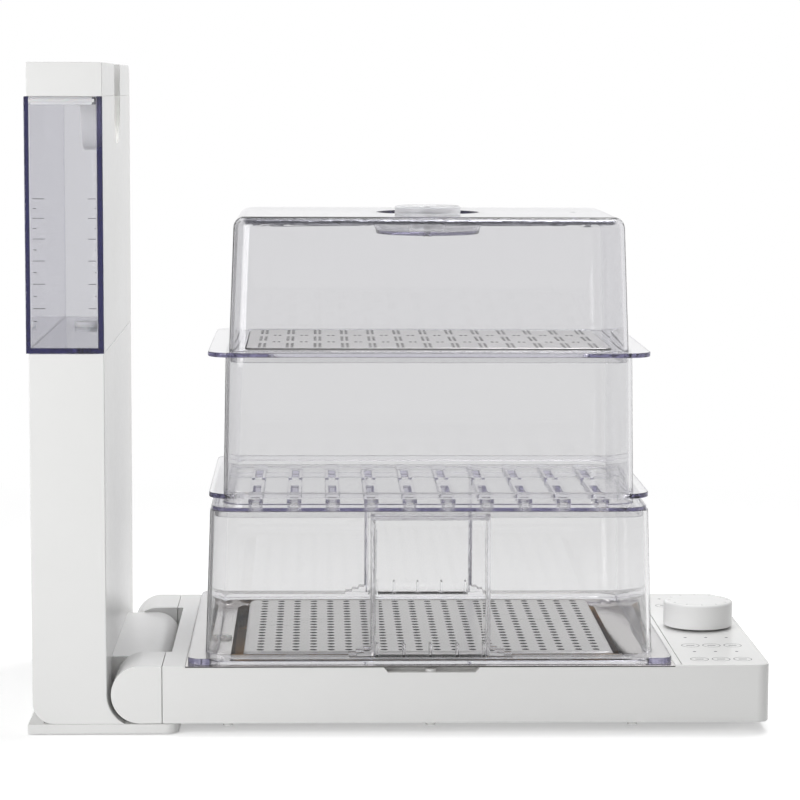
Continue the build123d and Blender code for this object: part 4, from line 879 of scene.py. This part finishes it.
# Columns of the tank's scale: centre, length of the bars and first step
scaleSizes = {"top": 319.2, "firstStep": 11.0, "growth": 0.37, "line": 0.35, "height": 0.06,
              "count": 6, "columns": ((-212.3, 7.0, 0.0), (-214.6, 2.0, 0.5),
                                      (-181.2, 4.6, 0.0), (-179.2, 0.8, 0.5))}
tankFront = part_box("water_tank")[0].y
columnsMade = []
for centre, length, start in scaleSizes["columns"]:
    columnsMade.append(grow("tankScale", levelScale, {
        **inMetres({"Length": length, "Line": scaleSizes["line"], "Height": scaleSizes["height"],
                    "First Step": scaleSizes["firstStep"], "Step Growth": scaleSizes["growth"],
                    "Count": scaleSizes["count"]}),
        "Start": start, "Origin": (centre * mm, tankFront, scaleSizes["top"] * mm),
        "Material": printInk}))
finishPiece(merged("tankScale", columnsMade), "water_tank")
print("printed marks made")


# Stage: floor, light and camera

stageSizes = {
    "floor": 60.0, "colors": ((0.93, 0.93, 0.93), (0.94, 0.94, 0.94)), "noise": 3.0, "rough": 0.7,
    "backdrop": 0.4, "near": 0.45, "far": 1.0, "sky": 0.25,
}
white = (1, 1, 1, 1)


def seenDirectly(tree):
    # One for rays from the camera and for what mirrors and clear pieces show, else nought
    rays = addNode(tree, "ShaderNodeLightPath").outputs
    seen = mathNode(tree, "MAXIMUM", rays["Is Camera Ray"], rays["Is Glossy Ray"])
    return mathNode(tree, "MAXIMUM", seen, rays["Is Transmission Ray"])


bpy.ops.mesh.primitive_plane_add(size=stageSizes["floor"])
floor = bpy.context.object
floor.name = "floor"
floorPaint = bpy.data.materials.new("floorPaint")
floorPaint.use_nodes = True
floorTree = floorPaint.node_tree
floorShader = floorTree.nodes["Principled BSDF"]
floorShader.inputs["Roughness"].default_value = stageSizes["rough"]
floorNoise = addNode(floorTree, "ShaderNodeTexNoise", {"Scale": stageSizes["noise"]})
floorColors = addNode(floorTree, "ShaderNodeMix", data_type="RGBA")
for socket, color in zip("AB", stageSizes["colors"]):
    floorColors.inputs[socket].default_value = (*color, 1)
join(floorTree, floorNoise.outputs["Fac"], floorColors.inputs["Factor"])
join(floorTree, floorColors.outputs["Result"], floorShader.inputs["Base Color"])
floorSeen = seenDirectly(floorTree)
floorShader.inputs["Emission Color"].default_value = white
join(floorTree, mathNode(floorTree, "MULTIPLY", floorSeen, stageSizes["backdrop"]),
     floorShader.inputs["Emission Strength"])
# Away from the object the floor fades into the white of the backdrop
floorPlace = addNode(floorTree, "ShaderNodeTexCoord")
floorReach = addNode(floorTree, "ShaderNodeVectorMath", operation="LENGTH")
join(floorTree, floorPlace.outputs["Object"], floorReach.inputs[0])
floorFade = addNode(floorTree, "ShaderNodeMapRange",
                    {"From Min": stageSizes["near"], "From Max": stageSizes["far"]})
join(floorTree, floorReach.outputs["Value"], floorFade.inputs["Value"])
farFloor = addNode(floorTree, "ShaderNodeEmission", {"Color": white, "Strength": 1.0})
floorMix = addNode(floorTree, "ShaderNodeMixShader")
join(floorTree, mathNode(floorTree, "MULTIPLY", floorFade.outputs["Result"], floorSeen),
     floorMix.inputs["Fac"])
join(floorTree, floorShader.outputs["BSDF"], floorMix.inputs[1])
join(floorTree, farFloor.outputs["Emission"], floorMix.inputs[2])
join(floorTree, floorMix.outputs["Shader"], floorTree.nodes["Material Output"].inputs["Surface"])
floor.data.materials.append(floorPaint)

world = bpy.data.worlds.new("studio")
bpy.context.scene.world = world
world.use_nodes = True
sky = world.node_tree
plain = sky.nodes["Background"]
plain.inputs["Color"].default_value = white
plain.inputs["Strength"].default_value = stageSizes["sky"]
seen = addNode(sky, "ShaderNodeBackground", {"Color": white, "Strength": 1.0})
blend = addNode(sky, "ShaderNodeMixShader")
join(sky, seenDirectly(sky), blend.inputs["Fac"])
join(sky, plain.outputs["Background"], blend.inputs[1])
join(sky, seen.outputs["Background"], blend.inputs[2])
join(sky, blend.outputs["Shader"], sky.nodes["World Output"].inputs["Surface"])

lampSizes = {
    "key": {"place": (-0.75, -0.85, 0.5), "size": 0.7, "power": 6.4},
    "top": {"place": (0.3, 0.3, 1.2), "size": 0.7, "power": 7.8},
}
aim = Vector((0, 0, 0.15))
for name, lamp in lampSizes.items():
    light = bpy.data.lights.new(name, "AREA")
    light.size = lamp["size"]
    light.energy = lamp["power"]
    holder = bpy.data.objects.new(name, light)
    bpy.context.scene.collection.objects.link(holder)
    holder.location = lamp["place"]
    holder.rotation_euler = (aim - holder.location).to_track_quat("-Z", "Y").to_euler()

cameraSizes = {"lens": 126.0, "sensor": 36.0, "place": (-0.0494, -1.76035, 0.3837),
               "turns": ((-1.696, "Z"), (90 - 6.34, "X"), (0.225, "Z"))}
cameraData = bpy.data.cameras.new("camera")
camera = bpy.data.objects.new("camera", cameraData)
bpy.context.scene.collection.objects.link(camera)
cameraData.lens = cameraSizes["lens"]
cameraData.sensor_width = cameraSizes["sensor"]
turn = Matrix.Translation(cameraSizes["place"])
for angle, axis in cameraSizes["turns"]:
    turn = turn @ Matrix.Rotation(math.radians(angle), 4, axis)
camera.matrix_world = turn
bpy.context.scene.camera = camera
bpy.context.scene.view_settings.view_transform = "Standard"
# Light stays long enough in the clear pieces for their edges to take their tint
bounces = {"most": 40, "transparent": 24}
cycles = bpy.context.scene.cycles
cycles.max_bounces = bounces["most"]
cycles.glossy_bounces = bounces["most"]
cycles.transmission_bounces = bounces["most"]
cycles.transparent_max_bounces = bounces["transparent"]
print("stage set")
